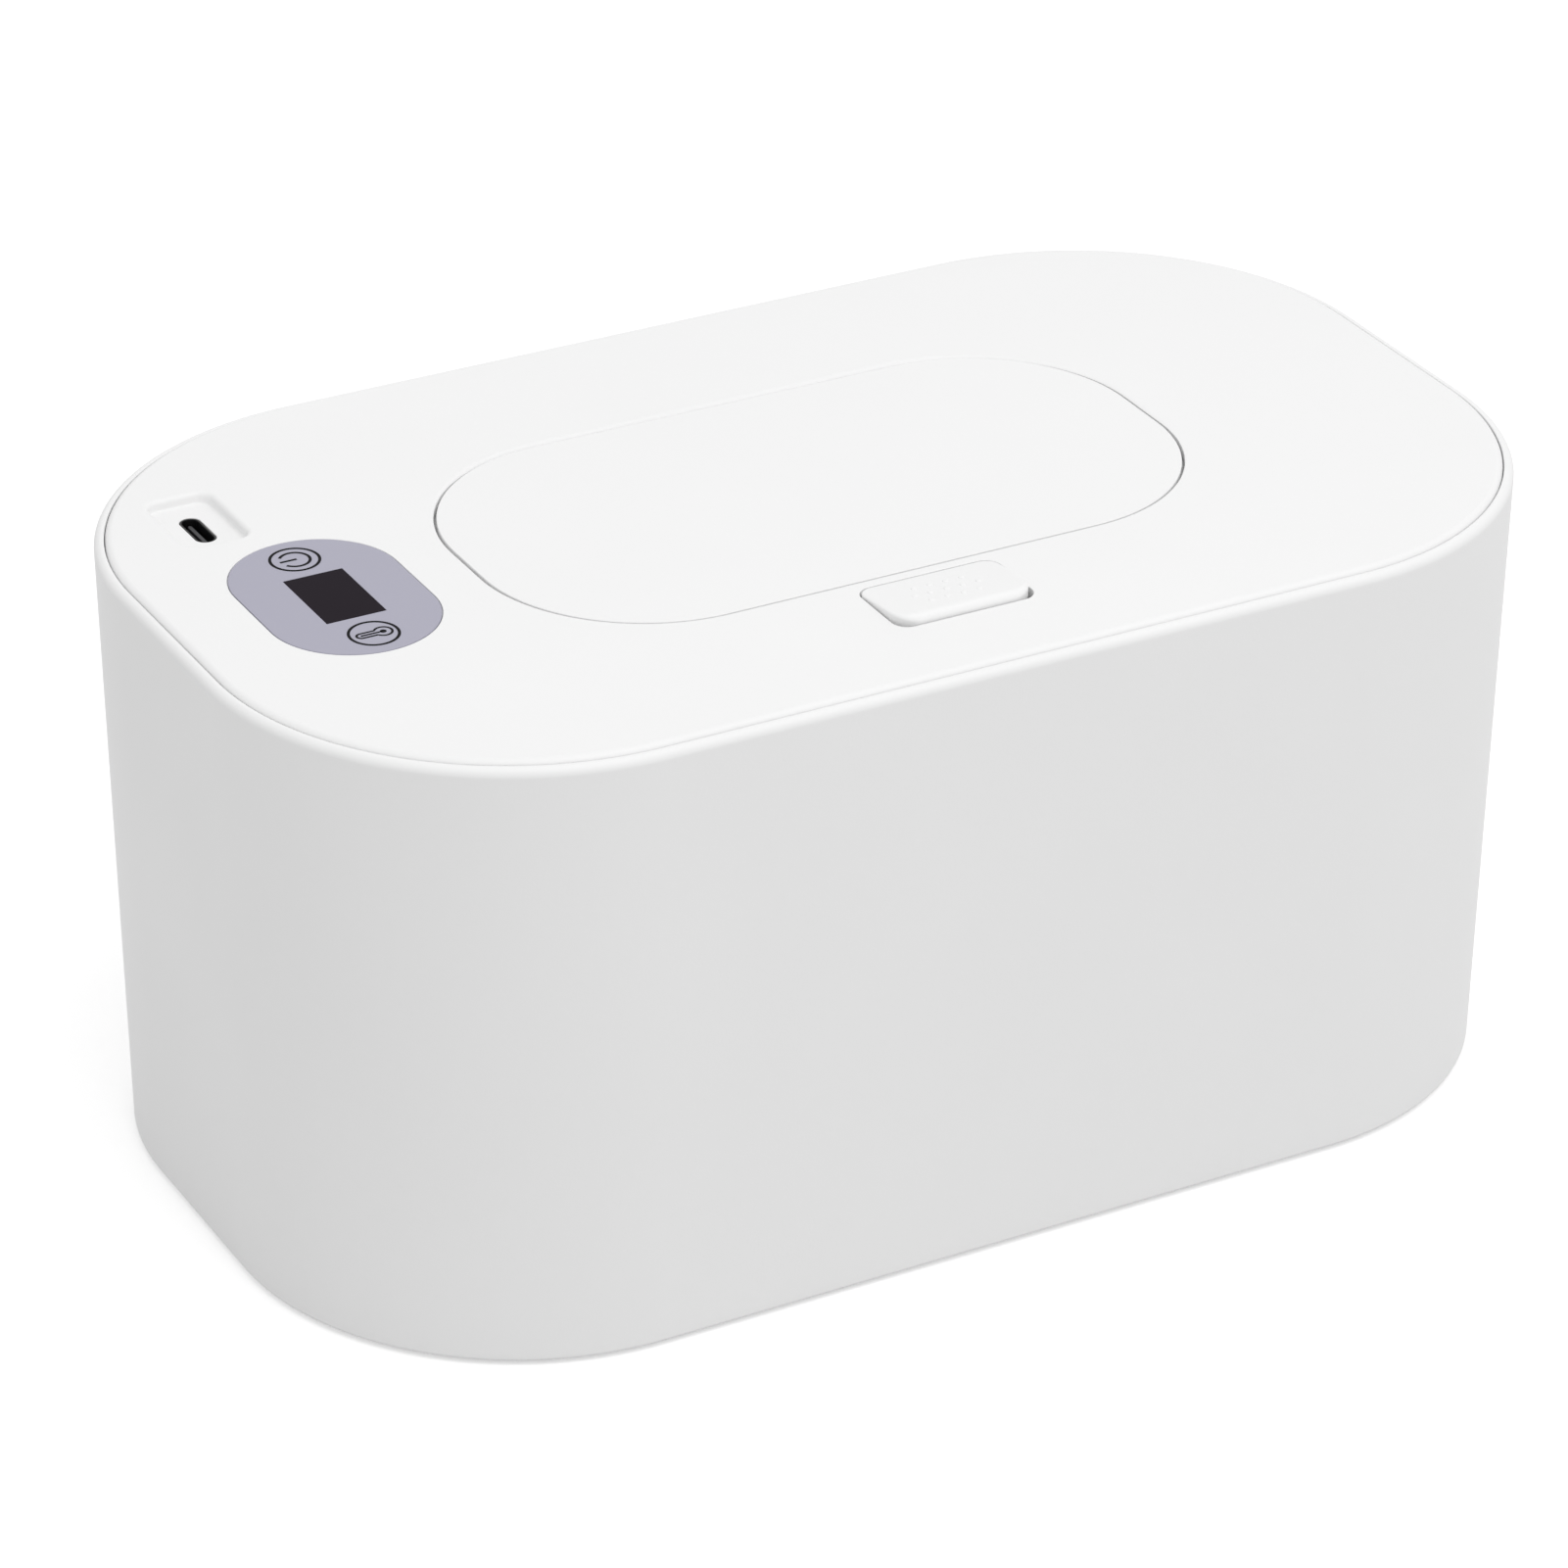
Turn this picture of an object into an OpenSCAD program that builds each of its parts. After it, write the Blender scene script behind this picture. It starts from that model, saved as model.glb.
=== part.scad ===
// Baby wipe warmer: a tub on four pads, closed by a lift-off lid. The lid holds the heater with its
// electronics, a hinged flap over the dispensing mouth, and the push button that lets the flap go.
// +X runs along the length, +Y to the hinge side and +Z up. The origin is on the surface, under the middle.

/* [Tub] */
// Length of the tub at its rim
body_l = 215; // [208:1:225]
// Width of the tub at its rim
body_w = 130; // [126:1:136]
// Height of the tub from its underside to its rim
tub_h = 100; // [90:1:120]
// Corner radius of the rim, seen from above
corner_r = 49; // [47:0.5:51]
// How far each wall leans in from the rim to the underside
draft = 1.8; // [1:0.1:2.4]
// Thickness of the wall at the rim
wall = 2.3; // [2.1:0.1:2.6]
// Thickness of the tub's floor
floor_t = 2.5; // [2.2:0.1:4]
// Outer rounding of the rim
rim_round = 1.1; // [0.6:0.1:1.3]
// Inner rounding of the rim
rim_inner_round = 0.5; // [0.2:0.1:0.7]
// Rounding of the underside's edge
base_round = 0.8; // [0.4:0.1:1.5]
// Depth from the rim to the ledge that carries the lid
ledge_drop = 8; // [6.5:0.5:9]
// Width of that ledge
ledge_w = 1.3; // [1:0.1:1.6]

/* [Foot pads] */
// Diameter of a pad
foot_d = 14; // [10:1:18]
// Thickness of a pad
foot_t = 1.6; // [1.2:0.1:1.9]
// How far a pad stands out of the underside
foot_proud = 0.6; // [0.4:0.1:1]
// Distance of a pad's centre outside the corner's centre, along X and along Y
foot_out = 20; // [10:1:22]

/* [Lid] */
// Gap between the lid and the rim
lid_gap = 0.4; // [0.3:0.05:0.6]
// How far the lid's top stands above the rim
lid_proud = 0.9; // [0.5:0.1:1.5]
// Thickness of the lid's top
lid_t = 2.2; // [2.1:0.1:2.5]
// Thickness of the lid's skirt
skirt_t = 1.8; // [1.5:0.1:2.2]
// Rounding of the lid's outer edge
lid_round = 1.6; // [1:0.1:1.7]
// Height of the space for the electronics, under the lid's top
space_h = 14.9; // [14.9:0.1:18]
// Thickness of the inner cover's floor
cover_t = 1.8; // [1.5:0.1:2.5]
// Thickness of the inner cover's wall
cover_wall = 1.6; // [1.4:0.1:2]
// How far the inner cover's wall reaches up inside the skirt
cover_lap = 3.5; // [2:0.5:4]
// Height of the seal ring
seal_h = 3; // [2:0.5:4]
// Diameter of an inner-cover screw's shank
screw_d = 2.4; // [2:0.1:2.8]
// Diameter of its head
screw_head_d = 5.6; // [4.5:0.1:6]

/* [Flap] */
// Distance from each end of the rim to the flap
flap_end = 49.4; // [46:0.2:54]
// Distance from each side of the rim to the flap
flap_side = 33.1; // [31:0.1:35]
// Length of the straight stretch at each end of the flap
flap_flat = 10.4; // [6:0.2:16]
// Gap round the flap
flap_gap = 0.45; // [0.35:0.05:0.6]
// Thickness of the flap's skin
flap_t = 1.6; // [1.4:0.1:1.7]
// Rounding of the lid's edge at the hinge side of the flap
hinge_side_round = 1.5; // [1.3:0.1:1.7]
// Rounding of the lid's edge at the button side of the flap
button_side_round = 0.35; // [0.2:0.05:0.6]
// Depth from the lid's top to the floor of the flap's well
well_d = 11.5; // [11.5:0.1:12.5]
// Thickness of the well's wall and floor
well_t = 1.6; // [1.4:0.1:1.6]

/* [Hinge] */
// Diameter of the hinge pin
pin_d = 1.8; // [1.6:0.1:2]
// Distance of the pin behind the flap's edge
pin_back = 4.6; // [4.4:0.1:5.2]
// Depth of the pin below the lid's top
pin_deep = 3.5; // [3.4:0.05:3.6]
// Thickness of a hinge arm
arm_t = 2; // [1.6:0.1:2.2]
// Width of a hinge arm
arm_w = 5; // [4:0.5:6]
// Distance of an arm's middle from the end of the flap's straight rear edge
arm_in = 9.4; // [7:0.2:11]

/* [Mouth] */
// Distance from each end of the flap to the inside of the mouth's raised rim
mouth_end = 16.1; // [14:0.1:20]
// Distance from each side of the flap to the inside of the mouth's raised rim
mouth_side = 13.9; // [12.5:0.1:16]
// Distance from each end of the mouth to the slot that the wipes are pulled through
slot_end = 12; // [9:0.5:18]
// Width of that slot
slot_w = 16; // [12:1:18]

/* [Release button] */
// Length of the button's pocket
pocket_l = 23.9; // [22:0.1:26]
// Width of the button's pocket
pocket_w = 14.5; // [14:0.1:15]
// Corner radius of the pocket
pocket_r = 2.6; // [2:0.1:3]
// Strip of lid between the flap's opening and the pocket
pocket_web = 1.65; // [1.65:0.05:2]
// Gap round the button
button_gap = 0.4; // [0.3:0.05:0.5]
// Corner radius of the button
button_r = 3.8; // [3:0.1:4.2]
// How far the button's front edge stands above the lid
button_rise = 1.5; // [1:0.1:2]
// How far the button travels
button_travel = 1.6; // [1.2:0.1:1.6]
// Diameter of a grip dot on the button
dot_d = 1; // [0.6:0.1:1.4]
// Distance between grip dots
dot_pitch = 2.7; // [2.2:0.1:3]

/* [Control panel] */
// Width of the panel's film, along the lid
panel_w = 26; // [25:0.5:28]
// Length of the panel's film, across the lid
panel_l = 39; // [38:0.5:42]
// Thickness of the film
film_t = 0.5; // [0.3:0.1:0.6]
// Distance from the lid's edge to the panel's middle
panel_in = 24.7; // [23:0.1:26]
// Width of the display's window
window_w = 9.6; // [8:0.1:10]
// Length of the display's window
window_l = 15.5; // [14:0.1:16]
// Distance of each key from the panel's middle
key_y = 13.6; // [13.2:0.1:14]
// How far a key's switch travels
key_travel = 0.25; // [0.15:0.05:0.3]

/* [Charging port] */
// Width of the port's pocket, along the lid
port_w = 10.4; // [9:0.1:11]
// Length of the port's pocket, across the lid
port_l = 16.8; // [14:0.1:18]
// Depth of the port's pocket
port_d = 1.5; // [1.2:0.1:1.6]
// How much nearer to the lid's end the port's middle is than the panel's
port_shift = 7.5; // [6:0.1:8.5]
// Strip of lid between the panel's film and the port's pocket
port_gap = 4.9; // [3.5:0.1:5.5]

/* [Heater] */
// Distance from each end of the rim to the heater plate
heat_end = 19.5; // [17.5:0.5:24]
// Distance from each side of the rim to the heater plate
heat_side = 19; // [17.5:0.5:22]
// Corner radius of the heater plate
heat_r = 38; // [34:1:42]
// Thickness of the heater plate
heat_t = 1; // [0.8:0.1:1.5]
// Thickness of the heating film
heat_film_t = 0.3; // [0.2:0.1:0.5]
// Thickness of the insulation pad
pad_t = 1.1; // [1:0.1:2]

/* [Hidden] */
$fn = 64;

// Colours
shell_white = [0.93, 0.93, 0.93];
soft_white = [0.86, 0.87, 0.88];
film_grey = [0.68, 0.67, 0.74];
dark_glass = [0.16, 0.14, 0.16];
steel = [0.72, 0.73, 0.75];
board_green = [0.12, 0.36, 0.22];
chip_black = [0.1, 0.1, 0.11];

// Small clearances and a cutter's reach past a face
fit = 0.15;
running = 0.3;
over = 1;

// Levels and corner centres that the tub and the lid share
corner_x = body_l / 2 - corner_r;
corner_y = body_w / 2 - corner_r;
z_base = foot_proud;
z_floor = z_base + floor_t;
z_rim = z_base + tub_h;
z_ledge = z_rim - ledge_drop;
z_top = z_rim + lid_proud;

// Radii measured from the corner centres
ledge_r = corner_r - wall - ledge_w;
tub_inner_base_r = corner_r - draft - wall - 0.3;
lid_r = corner_r - wall - lid_gap;
skirt_r = lid_r - skirt_t;
cover_r = skirt_r - running;

// The flap, the mouth and the heater
flap_l = body_l - 2 * flap_end;
flap_w = body_w - 2 * flap_side;
flap_r = (flap_w - flap_flat) / 2;
mouth_l = flap_l - 2 * mouth_end;
mouth_w = flap_w - 2 * mouth_side;
slot_l = mouth_l - 2 * slot_end;
heat_l = body_l - 2 * heat_end;
heat_w = body_w - 2 * heat_side;

// The flap's opening, and the well under it, which reaches back under the lid to hold the hinge
open_l = flap_l + 2 * flap_gap;
open_w = flap_w + 2 * flap_gap;
open_r = flap_r + flap_gap;
knuckle_r = pin_d / 2 + 0.7;
edge_reach = 4.85 + (pin_back - 4.6) + (pin_deep - 3.5);
arm_inner_r = edge_reach + running;
arm_outer_r = arm_inner_r + arm_t;
web_angle = 288;
lug_out = 4.2;
lug_l = 1.2;
bay = pin_back - flap_gap + 5;
well_l = open_l;
well_w = open_w + bay;
well_cx = well_l / 2 - open_r;
well_cy = well_w / 2 - open_r;
well_y = bay / 2;
pin_y = flap_w / 2 + pin_back;
pin_z = z_top - pin_deep;
relief_d = pin_deep - knuckle_r - 0.4;
ear_t = 2;
arm_x = flap_l / 2 - flap_r - arm_in;
ear_gap = 0.4;
ear_x = arm_x + arm_w / 2 + ear_gap + ear_t / 2;
mid_ear_x = arm_x - arm_w / 2 - 7.5;

// Depths below the lid's top
space_d = lid_t + space_h;
cover_d = space_d + cover_t;
heat_d = cover_d + pad_t + heat_film_t;
well_floor_d = well_d + 1.8;

// The flap's inner parts
liner_in = 3.2;
liner_d = 4;
liner_t = 1.4;
rim_wall = 1.6;
gasket_d = liner_d + liner_t + 1.2;
rim_d = gasket_d + running;
sill_in = 3;
membrane_t = 1.2;
frame_t = 2;

// The button, its latch and their guide
pocket_y = -(open_w / 2 + pocket_web + pocket_w / 2);
button_l = pocket_l - 2 * button_gap;
button_w = pocket_w - 2 * button_gap;
button_tilt = atan(button_rise / button_w);
guide_wall = 1.3;
guide_d = 5.5;
skirt_d = 5;
slider_d = 7;
slider_t = 1.6;
slider_w = 9;
guide_plate_d = slider_d + slider_t + running;
guide_plate_t = 1.6;
wedge_w = 4;
wedge_t = 3.6;
wedge_y = pocket_y + 2.7;
wedge_tip_d = slider_d + slider_t + 0.2;
wedge_gap = 0.05;
nose_y = -(open_w / 2) + 1.35;
catch_w = 7;
catch_d = slider_d + slider_t + running;
slider_front = wedge_y - wedge_t - 3;
spring_wall_y = slider_front - 4.5;
spring_in = 0.9;
spring_wall_t = 3.5;
rail_l = 4.5;
rail_y = pocket_y - button_w / 2 + 1.5 + running + 0.1 + rail_l / 2;
button_spring_x = 8;
guide_screw_x = pocket_l / 2 + guide_wall + 3;

// The panel, the boards and the port
panel_x = -(corner_x + lid_r - panel_in);
board_d = 6.6;
board_t = 1.6;
board_l = 42;
board_w = 25;
board_post_x = board_w / 2 - 2.9;
board_post_y = board_l / 2 - 2.5;
stem_r = 1.65;
switch_d = 3.2;
port_x = panel_x - port_shift;
port_y = panel_l / 2 + port_gap + port_l / 2;
port_floor_t = 1.1;
port_r = 2.2;
port_round = 0.8;
port_slot_l = 9;
port_slot_w = 3.4;
shell_l = 8.94;
shell_w = 3.26;
shell_t = 0.3;
power_d = 12.3;
power_l = 24;
power_w = 25;
power_x = port_x + 8;
power_y = port_y - 6.3;
connector_l = 5.6;
connector_x = power_x + power_l / 2 - connector_l / 2 - 2;
coil_l = 5;
coil_x = connector_x - connector_l / 2 - coil_l / 2 - 0.6;
lead_x = power_x + power_l / 2 + 3;
lead_y = power_y + 3;
lead_r = 0.7;

// Screws
boss_r = screw_d / 2 + 2.3;
screw_out_x = 19.5;
screw_out_y = 31;
mid_screw_x = 28;
screw_l = 8;
screw_head_h = 1.9;
small_d = 1.8;
small_head_d = 3.8;
small_head_h = 1.3;
small_post_r = 2.4;
board_screw_l = 4.6;
guide_screw_l = 5.5;

// Places of the screws that hold the inner cover to the lid's bosses
screw_places = [for (sx = [-1, 1], sy = [-1, 1]) each [
    [sx * (corner_x + screw_out_x), sy * (corner_y + screw_out_y)],
    [sx * mid_screw_x, sy * (corner_y + skirt_r - boss_r - 3)]]];

// Points along an arc, for the rounded stretches of a profile
function arc(centre, r, from, to, steps = 6) =
    [for (i = [0:steps]) let (a = from + (to - from) * i / steps) centre + r * [cos(a), sin(a)]];

// A profile in (distance from the corner centre, height), swept round a rounded rectangle
module swept(cx, cy) {
    for (c = [[cx, cy, 0], [-cx, cy, 90], [-cx, -cy, 180], [cx, -cy, 270]])
        translate([c[0], c[1], 0]) rotate([0, 0, c[2]]) rotate_extrude(angle = 90) children();
    for (s = [[-cx, cy, 0, cx], [cx, cy, -90, cy], [cx, -cy, 180, cx], [-cx, -cy, 90, cy]])
        if (s[3] > 0.01)
            translate([s[0], s[1], 0]) rotate([0, 0, s[2]]) rotate([90, 0, 90])
                linear_extrude(2 * s[3]) children();
}

module rounded_rect(l, w, r) {
    if (w - 2 * r > 0.01) square([l, w - 2 * r], center = true);
    if (l - 2 * r > 0.01) square([l - 2 * r, w], center = true);
    for (x = [-1, 1], y = [-1, 1]) translate([x * (l / 2 - r), y * (w / 2 - r)]) circle(r);
}

// A rounded plate between two depths below the lid's top
module plate(l, w, r, top, bottom) {
    translate([0, 0, z_top - bottom]) linear_extrude(bottom - top) rounded_rect(l, w, r);
}

// An upright rod between two depths below the lid's top
module rod(x, y, r, top, bottom) {
    translate([x, y, z_top - bottom]) cylinder(r = r, h = bottom - top);
}

// An upright block between two depths below the lid's top, centred on x and y
module block(x, y, l, w, top, bottom) {
    translate([x - l / 2, y - w / 2, z_top - bottom]) cube([l, w, bottom - top]);
}

// A tube along a path, with one ring of sides at each point, square to a reference direction
function unit(v) = v / norm(v);
function heading(p, i) = unit(p[min(i + 1, len(p) - 1)] - p[max(i - 1, 0)]);
module tube(path, r, ref, sides = 8) {
    n = len(path);
    points = [for (i = [0:n - 1]) let (t = heading(path, i), u = unit(cross(ref, t)), v = cross(t, u))
        for (k = [0:sides - 1]) path[i] + r * (cos(360 * k / sides) * u + sin(360 * k / sides) * v)];
    walls = [for (i = [0:n - 2], k = [0:sides - 1]) let (a = i * sides + k,
        b = i * sides + (k + 1) % sides) each [[a, a + sides, b + sides], [a, b + sides, b]]];
    first = [for (k = [1:sides - 2]) [0, k, k + 1]];
    base = (n - 1) * sides;
    last = [for (k = [1:sides - 2]) [base, base + k + 1, base + k]];
    polyhedron(points, concat(walls, first, last));
}

// Points of a coil round +Z that starts at the height of its wire's middle
function coil(r, length, turns, steps = 12) =
    [for (i = [0:turns * steps]) let (a = 360 * i / steps)
        [r * cos(a), r * sin(a), length * i / (turns * steps)]];

module tub() {
    lean = draft / tub_h;
    color(shell_white) difference() {
        union() {
            swept(corner_x, corner_y) polygon(concat(
                [[corner_r - 15, z_base]],
                arc([corner_r - draft - base_round, z_base + base_round], base_round, 270, 360),
                arc([corner_r - rim_round * (1 + lean), z_rim - rim_round], rim_round, 0, 90),
                arc([corner_r - wall + rim_inner_round, z_rim - rim_inner_round], rim_inner_round, 90, 180, 4),
                [[corner_r - wall, z_ledge], [ledge_r, z_ledge], [tub_inner_base_r, z_floor],
                    [corner_r - 15, z_floor]]));
            translate([0, 0, z_base]) linear_extrude(floor_t)
                rounded_rect(2 * (corner_x + corner_r - 14), 2 * (corner_y + corner_r - 14), corner_r - 14);
        }
        foot_places(z_base - over, foot_t + over - foot_proud, foot_d / 2 + fit);
    }
}

module foot_places(z, h, r) {
    for (x = [-1, 1], y = [-1, 1])
        translate([x * (corner_x + foot_out), y * (corner_y + foot_out), z]) cylinder(r = r, h = h);
}

module foot_pads() {
    color(soft_white) foot_places(0, foot_t, foot_d / 2);
}

module lid_cover() {
    rear_cut = hinge_side_round - button_side_round;
    color(shell_white) difference() {
        union() {
            // Top and skirt
            swept(corner_x, corner_y) polygon(concat(
                [[skirt_r - 8, z_top - lid_t], [skirt_r, z_top - lid_t], [skirt_r, z_ledge], [lid_r, z_ledge]],
                arc([lid_r - lid_round, z_top - lid_round], lid_round, 0, 90),
                [[skirt_r - 8, z_top]]));
            plate(2 * (corner_x + skirt_r - 7), 2 * (corner_y + skirt_r - 7), skirt_r - 7, 0, lid_t);
            // Well with the raised rim of the mouth
            translate([0, well_y, 0]) plate(well_l + 2 * well_t, well_w + 2 * well_t, open_r + well_t,
                lid_t - 0.5, well_floor_d);
            // Guide round the button
            translate([0, pocket_y, 0]) plate(pocket_l + 2 * guide_wall, pocket_w + 2 * guide_wall,
                pocket_r + guide_wall, lid_t - 0.5, guide_d);
            // Pad that thickens the floor of the port's pocket
            block(port_x, port_y, port_w + 3, port_l + 3, lid_t - 0.5, port_d + port_floor_t);
            // Bosses for the screws of the inner cover, the guide and the upper board
            for (p = screw_places) rod(p[0], p[1], boss_r, lid_t - 0.5, space_d);
            for (x = [-1, 1]) rod(x * guide_screw_x, pocket_y, small_post_r, lid_t - 0.5, guide_plate_d);
            for (x = [-1, 1], y = [-1, 1])
                rod(panel_x + x * board_post_x, y * board_post_y, small_post_r, lid_t - 0.5, board_d);
        }
        // Inside of the well
        translate([0, well_y, 0]) plate(well_l, well_w, open_r, lid_t, well_d);
        // Opening over it, with its edge eased more at the hinge side than at the button side
        plate(open_l, open_w, open_r, -over, lid_t + over);
        translate([0, rear_cut / 2, 0])
            swept(open_l / 2 - open_r - rear_cut / 2, open_w / 2 - open_r - rear_cut / 2)
                polygon(concat(
                    [[open_r - 2, z_top - hinge_side_round], [open_r, z_top - hinge_side_round]],
                    arc([open_r + hinge_side_round, z_top - hinge_side_round], hinge_side_round, 180, 90),
                    [[open_r + hinge_side_round, z_top + over], [open_r - 2, z_top + over]]));
        // Mouth through the well's floor, with a sill that carries the membrane
        plate(mouth_l - 2 * sill_in, mouth_w - 2 * sill_in, mouth_w / 2 - sill_in, 0, well_floor_d + over);
        // Relief above the hinge
        translate([-(ear_x + ear_t / 2 + 0.5), pin_y - knuckle_r - 0.6, z_top - lid_t - over])
            cube([2 * ear_x + ear_t + 1, 2 * knuckle_r + 1.2, lid_t + over - relief_d]);
        // Button's pocket and the windows of the latch
        translate([0, pocket_y, 0]) plate(pocket_l, pocket_w, pocket_r, -over, guide_d + over);
        block(0, -(open_w / 2) - well_t / 2, slider_w + 1, well_t + 1, slider_d - running,
            slider_d + slider_t + running);
        // Panel's recess, display window and key holes
        translate([panel_x, 0, 0]) plate(panel_w + 2 * fit, panel_l + 2 * fit, panel_w / 2 + fit, -over, film_t);
        block(panel_x, 0, window_w + 1, window_l + 0.6, 0, lid_t + over);
        for (y = [-1, 1]) rod(panel_x, y * key_y, stem_r + 0.4, 0, lid_t + over);
        // Port's pocket and slot
        translate([port_x, port_y, 0]) {
            plate(port_w, port_l, port_r, -over, port_d);
            swept(port_w / 2 - port_r, port_l / 2 - port_r) polygon(concat(
                [[port_r - 1, z_top - port_round]],
                arc([port_r + port_round, z_top - port_round], port_round, 180, 90, 4),
                [[port_r + port_round, z_top + over], [port_r - 1, z_top + over]]));
        }
        translate([port_x, port_y, 0]) plate(port_slot_w, port_slot_l, port_slot_w / 2, 0, lid_t + over);
        // Pilot holes
        for (p = screw_places) rod(p[0], p[1], screw_d / 2 + 0.02, space_d - screw_l - 2, space_d + over);
        for (x = [-1, 1]) rod(x * guide_screw_x, pocket_y, small_d / 2 + 0.02, guide_plate_d - guide_screw_l + 0.5,
                guide_plate_d + over);
        for (x = [-1, 1], y = [-1, 1])
            rod(panel_x + x * board_post_x, y * board_post_y, small_d / 2 + 0.02,
                board_d - board_screw_l + 1, board_d + over);
    }
    color(shell_white) {
        mouth_rim();
        hinge_ears();
    }
}

// Raised rim that the flap's gasket closes on
module mouth_rim() {
    swept(mouth_l / 2 - mouth_w / 2, 0)
        polygon([[mouth_w / 2, z_top - well_d - 0.5], [mouth_w / 2 + rim_wall, z_top - well_d - 0.5],
            [mouth_w / 2 + rim_wall, z_top - rim_d], [mouth_w / 2, z_top - rim_d]]);
}

// Ears that hang from the lid and hold the ends of the hinge pin
module hinge_ears() {
    for (x = [-ear_x, -mid_ear_x, mid_ear_x, ear_x]) difference() {
        union() {
            translate([x - ear_t / 2, pin_y, pin_z]) rotate([0, 90, 0]) cylinder(r = 2.2, h = ear_t);
            translate([x - ear_t / 2, pin_y - 2.2, pin_z]) cube([ear_t, 4.4, z_top - pin_z - relief_d + 0.2]);
        }
        translate([x - ear_t, pin_y, pin_z]) rotate([0, 90, 0]) cylinder(r = pin_d / 2 + 0.02, h = 2 * ear_t);
    }
}

module lid_inner_cover() {
    wall_top = z_ledge + cover_lap;
    groove_z = z_top - space_d + 1;
    rib_r = heat_r + fit;
    hole_r = mouth_w / 2 - sill_in + 1;
    color(shell_white) difference() {
        union() {
            // Wall with the groove of the seal
            swept(corner_x, corner_y) polygon([
                [cover_r - 10, z_top - cover_d], [cover_r, z_top - cover_d], [cover_r, groove_z],
                [cover_r - 0.8, groove_z], [cover_r - 0.8, groove_z + seal_h], [cover_r, groove_z + seal_h],
                [cover_r, wall_top], [cover_r - cover_wall, wall_top], [cover_r - cover_wall, z_top - space_d],
                [cover_r - 10, z_top - space_d]]);
            plate(2 * (corner_x + cover_r - 9), 2 * (corner_y + cover_r - 9), cover_r - 9, space_d, cover_d);
            // Ribs round the heater
            swept(heat_l / 2 - heat_r, heat_w / 2 - heat_r) polygon([
                [rib_r, z_top - cover_d + 0.5], [rib_r, z_top - heat_d - heat_t],
                [rib_r + 1.4, z_top - heat_d - heat_t], [rib_r + 1.4, z_top - cover_d + 0.5]]);
            // Chimney of the mouth
            plate(mouth_l - 2 * sill_in + 5.2, 2 * hole_r + 3.2, hole_r + 1.6, well_floor_d, heat_d + heat_t);
            // Posts of the lower board
            for (p = power_posts()) rod(p[0], p[1], small_post_r, power_d + board_t, space_d + 0.5);
        }
        plate(mouth_l - 2 * sill_in + 2, 2 * hole_r, hole_r, well_floor_d - over, heat_d + heat_t + over);
        for (p = screw_places) rod(p[0], p[1], screw_d / 2 + 0.3, space_d - over, cover_d + over);
        for (p = power_posts()) rod(p[0], p[1], small_d / 2 + 0.02, power_d, space_d + 0.3);
        rod(lead_x, lead_y, 3, space_d - over, cover_d + over);
    }
}

function power_posts() = [for (p = [[-1, -1], [1, -1], [1, 1]])
    [power_x + p[0] * (power_l / 2 - 2.8), power_y + p[1] * (power_w / 2 - 2.8)]];

module lid_seal() {
    groove_z = z_top - space_d + 1;
    inner_r = ledge_r - (ledge_r - tub_inner_base_r) * (z_ledge - groove_z) / (z_ledge - z_floor);
    lip_r = inner_r - running;
    color(soft_white) swept(corner_x, corner_y) polygon([
        [cover_r - 0.8, groove_z], [cover_r, groove_z], [lip_r, groove_z + 0.6],
        [lip_r, groove_z + 1.2], [cover_r, groove_z + seal_h], [cover_r - 0.8, groove_z + seal_h]]);
}

module inner_cover_screws() {
    color(steel) for (p = screw_places) {
        rod(p[0], p[1], screw_d / 2, space_d - screw_l, cover_d);
        difference() {
            rod(p[0], p[1], screw_head_d / 2, cover_d, cover_d + screw_head_h);
            cross_recess(p[0], p[1], cover_d + screw_head_h, screw_head_d * 0.55);
        }
    }
}

// Cross in a screw's head, whose face looks down
module cross_recess(x, y, face, size) {
    for (a = [0, 1]) block(x, y, a == 0 ? size : size / 5, a == 0 ? size / 5 : size, face - 0.9, face + over);
}

module mouth_membrane() {
    color(soft_white) difference() {
        plate(mouth_l - 2 * fit, mouth_w - 2 * fit, mouth_w / 2 - fit, well_d - membrane_t, well_d);
        plate(slot_l, slot_w, slot_w / 2, well_d - membrane_t - over, well_d + over);
    }
}

module mouth_frame() {
    top = well_d - membrane_t - frame_t;
    color(shell_white) difference() {
        plate(mouth_l - 2 * fit, mouth_w - 2 * fit, mouth_w / 2 - fit, top, well_d - membrane_t);
        plate(mouth_l - 2 * sill_in, mouth_w - 2 * sill_in, mouth_w / 2 - sill_in, top - over, well_d);
    }
}

// A flat ring with the heater's outline, between two depths
module heater_ring(inset, top, bottom) {
    hole_r = mouth_w / 2 - sill_in + 1 + 1.6 + fit + inset;
    difference() {
        plate(heat_l - 2 * inset, heat_w - 2 * inset, heat_r - inset, top, bottom);
        plate(mouth_l - 2 * sill_in + 5.2 + 2 * (fit + inset), 2 * hole_r, hole_r, top - over, bottom + over);
    }
}

module heater_plate() {
    color(steel) heater_ring(0, heat_d, heat_d + heat_t);
}

module heating_film() {
    color([0.75, 0.45, 0.15]) heater_ring(1, heat_d - heat_film_t, heat_d);
}

module insulation_pad() {
    color(soft_white) difference() {
        heater_ring(0.5, cover_d, cover_d + pad_t);
        block(lead_x, lead_y + 1.4, 6.5, 9.5, cover_d - over, cover_d + pad_t + over);
    }
}

module thermistor() {
    color([0.2, 0.2, 0.22]) block(lead_x, lead_y - 1.5, 3, 2.2, cover_d + 0.1, cover_d + pad_t);
}

module thermal_cutoff() {
    color([0.8, 0.78, 0.7]) block(lead_x, lead_y + 3.4, 3, 4.2, cover_d + 0.1, cover_d + pad_t);
}

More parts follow.
